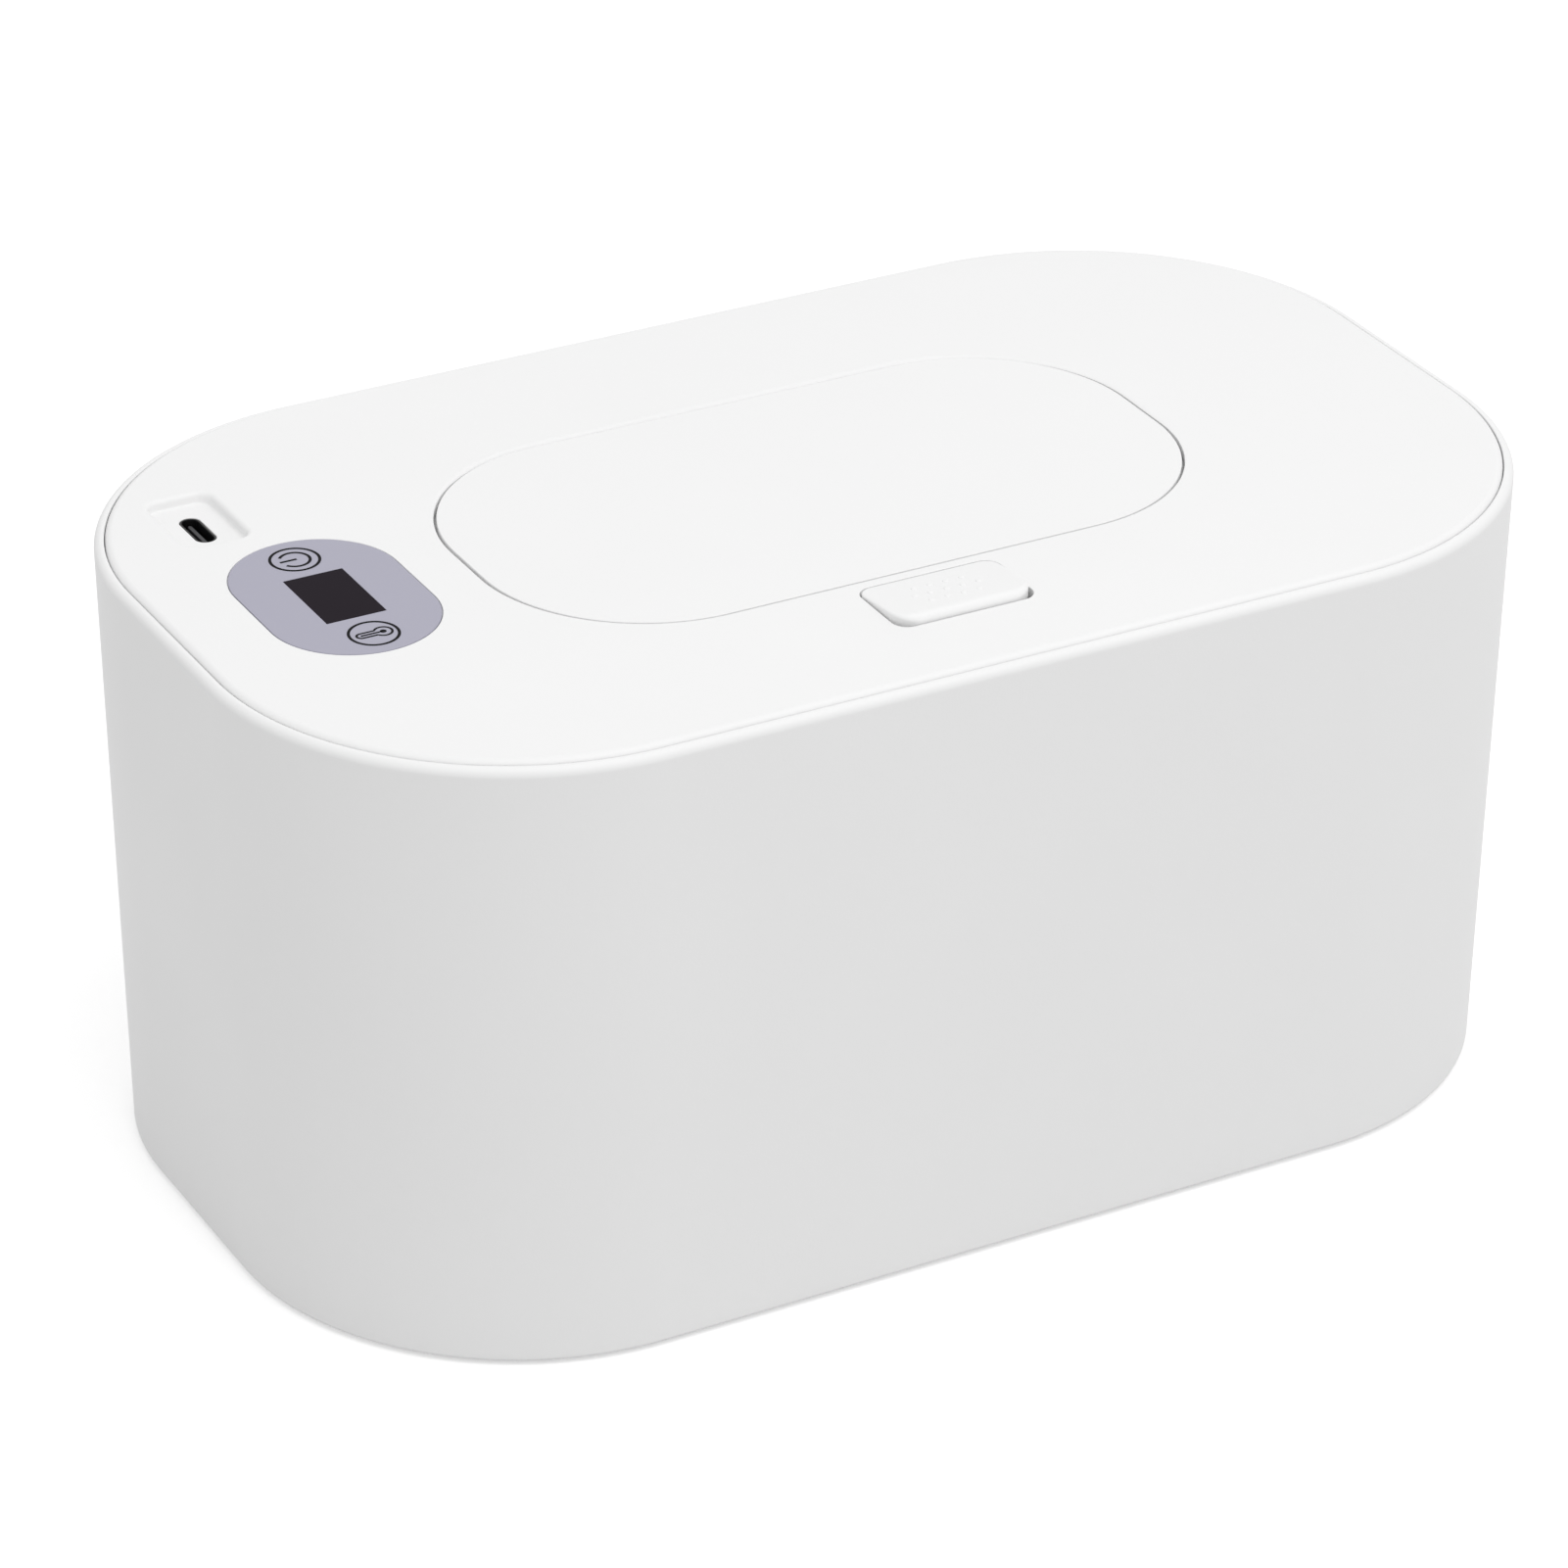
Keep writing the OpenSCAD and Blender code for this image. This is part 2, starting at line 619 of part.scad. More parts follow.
// A lead from the connector over the lower board's edge and down through the inner cover
module lead(y, r, end_d) {
    high = z_top - power_d + 2.4;
    tube([[power_x + power_l / 2 - 2, y, high], [lead_x - 2, y, high], [lead_x - 0.8, y, high - 0.4],
        [lead_x - 0.2, y, high - 1.6], [lead_x, y, high - 3], [lead_x, y, z_top - end_d]], r, [0, 1, 0]);
}

module heater_leads() {
    color([0.75, 0.1, 0.1]) {
        lead(lead_y + 0.45, lead_r, heat_d - heat_film_t);
        lead(lead_y + 1.98, lead_r, cover_d + 0.1);
    }
}

module sensor_leads() {
    color([0.15, 0.15, 0.15]) for (s = [-1, 1]) lead(lead_y - 1.4 + s * 0.45, 0.4, cover_d + 0.1);
}

module power_board() {
    color(board_green) difference() {
        block(power_x, power_y, power_l, power_w, power_d, power_d + board_t);
        for (p = power_posts()) rod(p[0], p[1], small_d / 2 + 0.2, power_d - over, power_d + board_t + over);
    }
}

module power_chips() {
    color(chip_black) {
        block(coil_x - 3.3, power_y + 3.1, 4, 4, power_d - 0.9, power_d);
        block(coil_x, power_y + 8, coil_l, coil_l, power_d - 2.8, power_d);
        block(coil_x - coil_l / 2 - 2, power_y + 9.5, 3.2, 1.6, power_d - 1, power_d);
        block(power_x + 1, power_y - 2.5, 3.2, 1.6, power_d - 1, power_d);
    }
}

module lead_connector() {
    color(soft_white) block(connector_x, lead_y, connector_l, 8, power_d - 3.8, power_d);
}

module board_header() {
    color(chip_black) block(panel_x + 0.3, power_y - power_w / 2 + 3.2, 10.2, 2.5, board_d + board_t, power_d);
}

module control_board() {
    color(board_green) difference() {
        block(panel_x, 0, board_w, board_l, board_d, board_d + board_t);
        for (x = [-1, 1], y = [-1, 1])
            rod(panel_x + x * board_post_x, y * board_post_y, small_d / 2 + 0.2, board_d - over,
                board_d + board_t + over);
    }
}

module control_chips() {
    color(chip_black) {
        block(panel_x, -6, 6, 5, board_d + board_t, board_d + board_t + 1.5);
        block(panel_x + 6.5, -6, 2, 3.2, board_d + board_t, board_d + board_t + 1);
        block(panel_x - 6.5, -8, 1.6, 3.2, board_d + board_t, board_d + board_t + 1);
    }
}

// A small screw whose head looks down
module small_screw(x, y, face, length) {
    rod(x, y, small_d / 2, face - length, face);
    difference() {
        rod(x, y, small_head_d / 2, face, face + small_head_h);
        cross_recess(x, y, face + small_head_h, small_head_d * 0.55);
    }
}

module board_screws() {
    color(steel) {
        for (x = [-1, 1], y = [-1, 1])
            small_screw(panel_x + x * board_post_x, y * board_post_y, board_d + board_t, board_screw_l);
        for (p = power_posts()) {
            rod(p[0], p[1], small_head_d / 2, power_d - small_head_h, power_d);
            rod(p[0], p[1], small_d / 2, power_d, space_d - 0.2);
        }
    }
}

module display_module() {
    color(chip_black) block(panel_x, 0, window_w + 0.4, window_l, film_t + 0.1, board_d);
}

module display_window() {
    color(dark_glass) block(panel_x, 0, window_w, window_l, 0, film_t);
}

module panel_film() {
    color(film_grey) difference() {
        translate([panel_x, 0, 0]) plate(panel_w, panel_l, panel_w / 2, 0, film_t);
        block(panel_x, 0, window_w, window_l, -over, film_t + over);
    }
}

module switch_case(y) {
    color(chip_black) difference() {
        block(panel_x, y, 6, 6, switch_d, board_d);
        rod(panel_x, y, stem_r + 0.05, switch_d - over, switch_d + 0.6 + key_travel);
    }
}

module switch_stem(y) {
    color(soft_white) rod(panel_x, y, stem_r, film_t + key_travel, switch_d + 0.5);
}

module power_switch_case() {
    switch_case(key_y);
}

module power_switch_stem() {
    switch_stem(key_y);
}

module temperature_switch_case() {
    switch_case(-key_y);
}

module temperature_switch_stem() {
    switch_stem(-key_y);
}

module usb_shell() {
    mouth = port_d + port_floor_t;
    color(chip_black) difference() {
        translate([port_x, port_y, 0]) plate(shell_w, shell_l, shell_w / 2, mouth, power_d);
        translate([port_x, port_y, 0]) plate(shell_w - 2 * shell_t, shell_l - 2 * shell_t,
            shell_w / 2 - shell_t, mouth - over, power_d + over);
    }
}

module usb_core() {
    mouth = port_d + port_floor_t;
    color(chip_black) {
        translate([port_x, port_y, 0]) plate(shell_w - 2 * shell_t, shell_l - 2 * shell_t,
            shell_w / 2 - shell_t, mouth + 6.2, power_d);
        block(port_x, port_y, 0.7, 6.7, mouth + 0.7, mouth + 6.2);
    }
}

module hinge_pin() {
    color(steel) translate([-(ear_x + ear_t / 2 + 0.4), pin_y, pin_z]) rotate([0, 90, 0])
        cylinder(r = pin_d / 2, h = 2 * ear_x + ear_t + 0.8);
}

// Torsion spring round the pin, with one leg under the lid and the other under the arm's lug
module hinge_spring() {
    wire_r = 0.3;
    r = pin_d / 2 + 0.2 + wire_r;
    // Angle of the leg on the lug, which stands off the lug's face by a hair
    leg = web_angle - 270 + asin((r - 0.7 - wire_r - 0.05) / lug_out);
    turns = 4 + (90 - leg) / 360;
    high = pin_deep - lid_t - wire_r - 0.05;
    length = 4;
    coils = [for (i = [0:48]) let (a = leg + 360 * turns * i / 48) [length * i / 48, r * cos(a), r * sin(a)]];
    ends = concat(
        [[0, r * cos(leg) + 5 * sin(leg), r * sin(leg) - 5 * cos(leg)],
            [0, r * cos(leg) + 1.2 * sin(leg), r * sin(leg) - 1.2 * cos(leg)]],
        coils, [[length, -1, r - 0.15], [length, -3.1, high]]);
    color(steel) translate([-(arm_x - arm_w / 2) + lug_l / 2 + 0.1, pin_y, pin_z])
        tube(ends, wire_r, [1, 0, 0], 6);
}

module flap_cover() {
    color(shell_white) union() {
        swept(flap_l / 2 - flap_r, flap_w / 2 - flap_r) polygon(concat(
            [[flap_r - 6, z_top - flap_t], [flap_r, z_top - flap_t]],
            arc([flap_r - 0.3, z_top - 0.3], 0.3, 0, 90, 3),
            [[flap_r - 6, z_top]]));
        plate(flap_l - 10, flap_w - 10, flap_r - 5, 0, flap_t);
        swept(flap_l / 2 - flap_r, flap_w / 2 - flap_r) polygon([
            [flap_r - liner_in - rim_wall, z_top - liner_d], [flap_r - liner_in, z_top - liner_d],
            [flap_r - liner_in, z_top - flap_t + 0.2], [flap_r - liner_in - rim_wall, z_top - flap_t + 0.2]]);
        for (side = [-1, 1]) hinge_arm(side * arm_x);
        // Lug on the spring's arm
        translate([-(arm_x - arm_w / 2) - 0.1, pin_y, pin_z]) rotate([web_angle - 270, 0, 0])
            translate([0, -0.7, -lug_out - 0.7]) cube([lug_l + 0.1, 1.4, 1.4]);
    }
}

// Curved arm from the flap's underside, round below the lid's edge and up to the pin
module hinge_arm(x) {
    start = 180 - asin((pin_deep - flap_t + 0.03) / arm_inner_r);
    finish = web_angle + asin(1.1 / arm_outer_r);
    translate([x + arm_w / 2, pin_y, pin_z]) rotate([0, -90, 0]) linear_extrude(arm_w) difference() {
        union() {
            // The profile's first axis points up and its second to the hinge side
            polygon([for (p = concat(arc([0, 0], arm_outer_r, start, finish, 16),
                arc([0, 0], arm_inner_r, finish, start, 16))) [p[1], p[0]]]);
            rotate([0, 0, 90 - web_angle]) translate([0, -1.1]) square([arm_outer_r - 0.3, 2.2]);
            circle(knuckle_r);
        }
        circle(pin_d / 2 + 0.05);
    }
}

module flap_liner() {
    inner = flap_r - liner_in - rim_wall - fit;
    color(shell_white) difference() {
        union() {
            plate(flap_l - 2 * liner_in, flap_w - 2 * liner_in, flap_r - liner_in, liner_d, liner_d + liner_t);
            swept(flap_l / 2 - flap_r, flap_w / 2 - flap_r) polygon([
                [inner - 1.2, z_top - liner_d - 0.2], [inner, z_top - liner_d - 0.2],
                [inner, z_top - flap_t], [inner - 1.2, z_top - flap_t]]);
            flap_catch();
        }
        gasket_ring(0, liner_d + liner_t - 0.5, liner_d + liner_t + over);
    }
}

// Hook at the liner's front edge that the latch's nose holds down
module flap_catch() {
    back = -flap_w / 2 + liner_in;
    front = nose_y + 0.4;
    lip = -open_w / 2 + 0.7;
    translate([-catch_w / 2, 0, 0]) rotate([90, 0, 90]) linear_extrude(catch_w) polygon([
        [front, z_top - liner_d - 0.1], [front, z_top - catch_d], [lip, z_top - catch_d],
        [lip, z_top - catch_d - 0.6], [front, z_top - catch_d - 1.5], [front + 1.6, z_top - catch_d - 1.5],
        [front + 1.6, z_top - liner_d - liner_t], [back + 2, z_top - liner_d - liner_t],
        [back + 2, z_top - liner_d - 0.1]]);
}

module gasket_ring(inset, top, bottom) {
    r = mouth_w / 2 + rim_wall / 2;
    swept(mouth_l / 2 - mouth_w / 2, 0) polygon([
        [r - 1.5 + inset, z_top - bottom], [r + 1.5 - inset, z_top - bottom],
        [r + 1.5 - inset, z_top - top], [r - 1.5 + inset, z_top - top]]);
}

module flap_gasket() {
    color(soft_white) gasket_ring(0.05, liner_d + liner_t - 0.5, gasket_d);
}

module release_button() {
    rise_z = z_top + button_rise;
    front = pocket_y - button_w / 2;
    rear = pocket_y + button_w / 2;
    round_r = 1.2;
    color(shell_white) {
        difference() {
            intersection() {
                translate([0, pocket_y, 0])
                    plate(button_l, button_w, button_r, -button_rise - over, skirt_d);
                // Side view: flush at the rear, raised and rounded at the front
                translate([-button_l, 0, 0]) rotate([90, 0, 90]) linear_extrude(2 * button_l) polygon(concat(
                    [[rear + over, z_top - skirt_d], [rear + over, z_top - over * tan(button_tilt)],
                        [rear, z_top]],
                    arc([front + round_r, rise_z - round_r * (tan(button_tilt) + 1 / cos(button_tilt))],
                        round_r, 90 - button_tilt, 180),
                    [[front, z_top - skirt_d]]));
            }
            translate([0, pocket_y, 0]) plate(button_l - 3, button_w - 3, button_r - 1.5, 1.8, skirt_d + over);
        }
        // Wedge that drives the latch, and the tabs that keep the button in its guide
        translate([-wedge_w / 2, 0, 0]) rotate([90, 0, 90]) linear_extrude(wedge_w) polygon([
            [wedge_y, z_top - 1.6], [wedge_y - wedge_t, z_top - 1.6],
            [wedge_y - wedge_t, z_top - wedge_tip_d + wedge_t], [wedge_y, z_top - wedge_tip_d]]);
        for (x = [-1, 1]) {
            block(x * (button_l / 2 + 0.1), pocket_y, 2.4, 3.6, guide_d + running, guide_d + running + 1);
            block(x * (button_l / 2 - 0.75), pocket_y, 1.5, 3.6, skirt_d - 0.5, guide_d + running + 1);
        }
        grip_dots();
    }
}

// Staggered rows of low dots on the button's sloping top
module grip_dots() {
    translate([0, pocket_y + button_w / 2, z_top]) rotate([-button_tilt, 0, 0])
        for (row = [0:2], i = [0:4]) if (row == 1 || i < 4)
            translate([(i - (row == 1 ? 2 : 1.5)) * dot_pitch, (row - 1) * dot_pitch - button_w / 2, -0.3])
                cylinder(d = dot_d, h = 0.5);
}

module button_springs() {
    wire_r = 0.25;
    color(steel) for (x = [-1, 1])
        translate([x * button_spring_x, pocket_y, z_top - guide_plate_d + wire_r])
            tube(coil(1.5, guide_plate_d - 1.8 - 2 * wire_r, 5), wire_r, [0, 0, 1], 6);
}

module latch_slider() {
    // Sloping front face of the window, parallel to the wedge's face
    face = wedge_y - (wedge_tip_d - slider_d) - wedge_gap;
    color(soft_white) difference() {
        translate([-slider_w / 2, 0, 0]) rotate([90, 0, 90]) linear_extrude(slider_w) polygon([
            [slider_front, z_top - slider_d - slider_t], [nose_y, z_top - slider_d - slider_t],
            [nose_y, z_top - slider_d - 0.9], [nose_y - 0.7, z_top - slider_d],
            [slider_front, z_top - slider_d]]);
        translate([-wedge_w / 2 - 0.3, 0, 0]) rotate([90, 0, 90]) linear_extrude(wedge_w + 0.6) polygon([
            [face - 1, z_top - slider_d + 1], [face + slider_t + 1, z_top - slider_d - slider_t - 1],
            [wedge_y + button_travel + 0.4, z_top - slider_d - slider_t - 1],
            [wedge_y + button_travel + 0.4, z_top - slider_d + 1]]);
    }
    // Peg that centres the spring
    color(soft_white) translate([0, slider_front + 0.1, z_top - slider_d - slider_t / 2]) rotate([90, 0, 0])
        cylinder(r = 0.6, h = 1.6);
}

module latch_spring() {
    wire_r = 0.2;
    color(steel) translate([0, slider_front - wire_r, z_top - slider_d - slider_t / 2]) rotate([90, 0, 0])
        tube(coil(1, slider_front - spring_wall_y + spring_in - 2 * wire_r, 6), wire_r, [0, 0, 1], 6);
}

// Plate under the slider, screwed to the lid's bosses, with the wall that its spring pushes on
module latch_guide() {
    rear = -open_w / 2 - well_t - 0.5;
    color(soft_white) difference() {
        union() {
            translate([-button_spring_x - 3.5, spring_wall_y - spring_wall_t, z_top - guide_plate_d - guide_plate_t])
                cube([2 * button_spring_x + 7, rear - spring_wall_y + spring_wall_t, guide_plate_t]);
            block(0, pocket_y, 2 * guide_screw_x + 5.6, 6, guide_plate_d, guide_plate_d + guide_plate_t);
            translate([-4, spring_wall_y - spring_wall_t, z_top - guide_plate_d - 0.5])
                cube([8, spring_wall_t, 3.5]);
            // Rails with lips that keep the slider down
            for (x = [-1, 1]) {
                block(x * (slider_w / 2 + running + 0.5), rail_y, 1, rail_l, slider_d - 1.3,
                    guide_plate_d + 0.5);
                block(x * (slider_w / 2 + running), rail_y, 2, rail_l, slider_d - 1.3, slider_d - running);
            }
        }
        block(0, wedge_y - wedge_t / 2 + 0.8, wedge_w + 1.2, wedge_t + 3.4, guide_plate_d - over,
            guide_plate_d + guide_plate_t + over);
        // Bore that the latch's spring slides in
        translate([0, slider_front + over, z_top - slider_d - slider_t / 2]) rotate([90, 0, 0])
            cylinder(r = 1.55, h = over + slider_front - spring_wall_y + spring_in + button_travel + 0.4);
        for (x = [-1, 1])
            rod(x * guide_screw_x, pocket_y, small_d / 2 + 0.2, guide_plate_d - over,
                guide_plate_d + guide_plate_t + over);
    }
}

module guide_screws() {
    color(steel) for (x = [-1, 1])
        small_screw(x * guide_screw_x, pocket_y, guide_plate_d + guide_plate_t, guide_screw_l);
}

tub();
foot_pads();
lid_cover();
lid_inner_cover();
lid_seal();
inner_cover_screws();
mouth_membrane();
mouth_frame();
heater_plate();
heating_film();
insulation_pad();
thermistor();
thermal_cutoff();
heater_leads();
sensor_leads();
power_board();
power_chips();
lead_connector();
board_header();
control_board();
control_chips();
board_screws();
display_module();
display_window();
panel_film();
power_switch_case();
power_switch_stem();
temperature_switch_case();
temperature_switch_stem();
usb_shell();
usb_core();
hinge_pin();
hinge_spring();
flap_cover();
flap_liner();
flap_gasket();
release_button();
button_springs();
latch_slider();
latch_spring();
latch_guide();
guide_screws();
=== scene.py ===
from math import asin, copysign, cos, degrees, radians, sin, tan

import bmesh
import bpy
from mathutils import Color, Matrix, Vector


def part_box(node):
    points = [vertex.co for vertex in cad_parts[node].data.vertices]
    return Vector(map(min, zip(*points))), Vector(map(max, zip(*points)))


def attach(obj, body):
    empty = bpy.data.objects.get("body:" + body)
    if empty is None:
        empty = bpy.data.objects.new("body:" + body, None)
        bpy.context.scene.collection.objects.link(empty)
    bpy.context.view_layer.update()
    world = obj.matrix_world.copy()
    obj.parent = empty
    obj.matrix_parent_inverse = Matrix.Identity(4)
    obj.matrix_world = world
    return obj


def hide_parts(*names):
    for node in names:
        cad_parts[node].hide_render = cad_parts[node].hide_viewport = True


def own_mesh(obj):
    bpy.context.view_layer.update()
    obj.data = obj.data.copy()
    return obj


bl_info = {
    "name": "Wipe Warmer",
    "version": (1, 0, 0),
    "blender": (4, 5, 0),
    "location": "3D View > Sidebar > Warmer",
    "description": "Models a baby wipe warmer's visible pieces, its finishes and a studio round it",
    "category": "Add Mesh",
}

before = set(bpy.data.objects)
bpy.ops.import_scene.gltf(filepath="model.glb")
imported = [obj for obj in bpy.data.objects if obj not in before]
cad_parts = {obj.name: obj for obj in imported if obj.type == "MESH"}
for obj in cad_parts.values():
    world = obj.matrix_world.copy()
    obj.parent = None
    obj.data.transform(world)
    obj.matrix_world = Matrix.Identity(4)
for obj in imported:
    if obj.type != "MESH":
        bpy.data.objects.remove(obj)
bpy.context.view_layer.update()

MM = 0.001
# Reach of a cutter past the face that it opens, and a step too small to see that keeps faces apart
OVER = 1 * MM
HAIR = 0.01 * MM
# Steps of a rounded corner that is seen from afar, and of a small one
WIDE_STEPS = 40
SMALL_STEPS = 10
# Signs of X and Y of the four quarters, in turn
QUADRANTS = ((1, 1), (-1, 1), (-1, -1), (1, -1))
# Half of the thickness of the lug that the hinge's spring pushes, and its angle round the pin,
# which is also that of the web in the flap's arm, in degrees from +Y towards +Z
LUG_HALF = 0.7 * MM
WEB_ANGLE = 288
BUTTON_WALL = 1.5 * MM
# Noise cells a metre along each axis on an upright turned screw
SCREW_LINES = (3000.0, 3000.0, 300.0)

# Places that the frame gives
TUB_LOW, TUB_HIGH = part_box("tub")
Z_BASE = TUB_LOW.z
Z_RIM = TUB_HIGH.z
Z_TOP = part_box("lid_cover")[1].z
FLAP_LENGTH = 2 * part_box("flap_cover")[1].x
FLAP_WIDTH = -2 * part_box("flap_cover")[0].y
MOUTH_LOW, MOUTH_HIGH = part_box("mouth_membrane")
FRAME_LOW, FRAME_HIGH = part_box("mouth_frame")
BUTTON_LOW, BUTTON_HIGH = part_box("release_button")
SPRINGS_LOW, SPRINGS_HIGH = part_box("button_springs")
FILM_LOW, FILM_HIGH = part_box("panel_film")
WINDOW_LOW, WINDOW_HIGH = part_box("display_window")
PORT_LOW, PORT_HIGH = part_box("usb_shell")
CORE_LOW, CORE_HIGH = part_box("usb_core")
PLATE_LOW, PLATE_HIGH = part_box("heater_plate")
COVER_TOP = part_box("lid_inner_cover")[1].z
PIN_LOW, PIN_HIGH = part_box("hinge_pin")
PADS_LOW, PADS_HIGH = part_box("foot_pads")
PIN_Y = (PIN_LOW.y + PIN_HIGH.y) / 2
PIN_Z = (PIN_LOW.z + PIN_HIGH.z) / 2
PIN_R = (PIN_HIGH.z - PIN_LOW.z) / 2
PANEL_X = (FILM_LOW.x + FILM_HIGH.x) / 2
PORT_X = (PORT_LOW.x + PORT_HIGH.x) / 2
PORT_Y = (PORT_LOW.y + PORT_HIGH.y) / 2
BUTTON_Y = (BUTTON_LOW.y + BUTTON_HIGH.y) / 2
BUTTON_REACH = BUTTON_HIGH.x
KEY_Y = sum(corner.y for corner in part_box("power_switch_stem")) / 2


def size(name, millimetres, description):
    """A length of the warmer, shown in the scene's units."""
    return bpy.props.FloatProperty(
        name=name, description=description, default=millimetres * MM, min=0.0, precision=5, unit="LENGTH")


def share(name, value, description):
    """A plain number from nothing to one."""
    return bpy.props.FloatProperty(name=name, description=description, default=value, min=0.0, max=1.0)


def tint(name, value, description):
    """A colour as a screen shows it."""
    return bpy.props.FloatVectorProperty(
        name=name, description=description, default=value, min=0.0, max=1.0, size=3, subtype="COLOR_GAMMA")


def turn(name, angle, description):
    """An angle, given in degrees."""
    return bpy.props.FloatProperty(
        name=name, description=description, default=radians(angle), subtype="ANGLE")


def shift(name, millimetres, description):
    """A length that may also be less than nothing."""
    return bpy.props.FloatProperty(
        name=name, description=description, default=millimetres * MM, unit="LENGTH")


class WarmerTub(bpy.types.PropertyGroup):
    corner_radius: size("Corner radius", 49, "Radius of the rim's corners, seen from above")
    lean: size("Lean", 1.8, "How far each wall leans in from the rim to the underside")
    wall: size("Wall", 2.45, "Thickness of the wall below the lid")
    rim_wall: size("Rim wall", 1.6, "Thickness of the rim beside the lid")
    floor: size("Floor", 2.5, "Thickness of the floor")
    rim_rise: size("Rim rise", 0.35, "How far the rounded rim stands above the rim that the frame gives")
    rim_round: size("Rim shoulder", 1.5, "Radius of the rim's outer shoulder")
    rim_inner_round: size("Inner rim rounding", 0.2, "Rounding of the rim's inner edge")
    base_round: size("Base rounding", 0.8, "Rounding of the underside's edge")
    floor_round: size("Floor rounding", 4, "Rounding between the wall and the floor, inside")
    ledge_drop: size("Ledge drop", 8, "Depth from the rim to the ledge that carries the lid")
    ledge_width: size("Ledge width", 1.3, "How far that ledge stands in from the wall")
    pad_gap: size("Pad gap", 0.15, "Gap round a foot pad in its recess")
    pad_diameter: size("Pad diameter", 14, "Diameter of a foot pad")


class WarmerLid(bpy.types.PropertyGroup):
    gap: size("Gap", 0.14, "Gap between the lid and the rim")
    top: size("Top", 2.2, "Thickness of the lid's top")
    skirt: size("Skirt", 2.7, "Thickness of the lid's skirt")
    edge_round: size("Edge rounding", 1.15, "Rounding between the lid's top and its sloping edge")
    edge_slope: turn("Edge slope", 62, "Steepness of the lid's edge above the rim")
    well_depth: size("Well depth", 11.5, "Depth from the lid's top to the floor of the flap's well")
    well_wall: size("Well wall", 1.6, "Thickness of the well's wall")
    well_floor: size("Well floor", 1.8, "Thickness of the well's floor")
    bay: size("Hinge bay", 9.15, "How far the well reaches back under the lid to hold the hinge")
    hinge_side_round: size("Hinge side rounding", 1.0, "Rounding of the opening's edge at the hinge side")
    button_side_round: size("Button side rounding", 0.2, "Rounding of the opening's edge at the button side")
    ledge_depth: size("Ledge depth", 2, "Depth of the ledges under the flap's round ends")
    ledge_width: size("Ledge width", 1.3, "Width of those ledges")
    mouth_wall: size("Mouth wall", 1.6, "Thickness of the mouth's raised rim")
    mouth_top: size("Mouth top", 6.9, "Depth of the top of the mouth's raised rim below the lid")
    mouth_gap: size("Mouth gap", 0.15, "Gap between the membrane and the mouth's raised rim")
    sill: size("Sill", 3, "Width of the sill that carries the membrane")
    slot_length: size("Slot length", 60, "Length of the slot that the wipes are pulled through")
    slot_width: size("Slot width", 16, "Width of that slot")
    ear_width: size("Ear width", 2, "Thickness of an ear that holds the hinge pin")
    ear_outer_x: size("Outer ear", 25.9, "Distance of the outer ears from the middle")
    ear_inner_x: size("Inner ear", 12, "Distance of the inner ears from the middle")
    hinge_roof: size("Hinge roof", 1.5, "Thickness of the lid above the hinge")
    boss_radius: size("Boss radius", 3.5, "Radius of a boss for a screw of the inner cover")
    screw_radius: size("Screw radius", 1.2, "Radius of a screw of the inner cover")
    screw_length: size("Screw length", 8, "Length of a screw's shank above the inner cover")
    screw_head_radius: size("Screw head radius", 2.8, "Radius of a screw's head")
    post_radius: size("Post radius", 2.4, "Radius of a post for a small screw")
    small_screw_radius: size("Small screw radius", 0.9, "Radius of a small screw")
    small_head: size("Small head", 1.9, "Radius of a small screw's head")


class WarmerInnerCover(bpy.types.PropertyGroup):
    depth: size("Depth", 17.1, "Depth of the inner cover's floor below the lid's top")
    floor: size("Floor", 1.8, "Thickness of the inner cover's floor")
    wall: size("Wall", 1.6, "Thickness of the inner cover's wall")
    gap: size("Gap", 0.3, "Gap between the inner cover's wall and the lid's skirt")
    seal_height: size("Seal height", 3, "Height of the seal ring")
    seal_depth: size("Seal depth", 0.8, "Depth of the seal's groove")
    rib_width: size("Rib width", 1.4, "Width of the rib round the heater")
    heater_radius: size("Heater radius", 38, "Corner radius of the heater plate")
    lead_radius: size("Lead hole radius", 3, "Radius of the hole that the heater's leads pass")


class WarmerFlap(bpy.types.PropertyGroup):
    corner_radius: size("Corner radius", 26.7, "Radius of the flap's corners")
    gap: size("Gap", 0.45, "Gap round the flap")
    skin: size("Skin", 1.6, "Thickness of the flap's skin")
    edge_round: size("Edge rounding", 0.2, "Rounding of the flap's upper edge")
    liner_inset: size("Liner inset", 3.2, "Distance from the flap's edge to its liner")
    liner_depth: size("Liner depth", 4, "Depth of the liner's upper face below the lid's top")
    liner: size("Liner", 1.4, "Thickness of the liner")
    ring_wall: size("Ring wall", 1.6, "Thickness of the wall under the skin")
    gasket_width: size("Gasket width", 2.9, "Width of the gasket's foot")
    gasket_drop: size("Gasket drop", 1.2, "How far the gasket stands out of the liner")
    arm_x: size("Arm place", 22, "Distance of a hinge arm from the middle")
    arm_width: size("Arm width", 5, "Width of a hinge arm")
    arm: size("Arm", 2, "Thickness of a hinge arm")
    arm_inner_radius: size("Arm inner radius", 5.15, "Inner radius of an arm's curve round the pin")
    lug_reach: size("Lug reach", 4.2, "Distance of the spring's lug from the pin")
    catch_width: size("Catch width", 7, "Width of the hook that the latch holds")


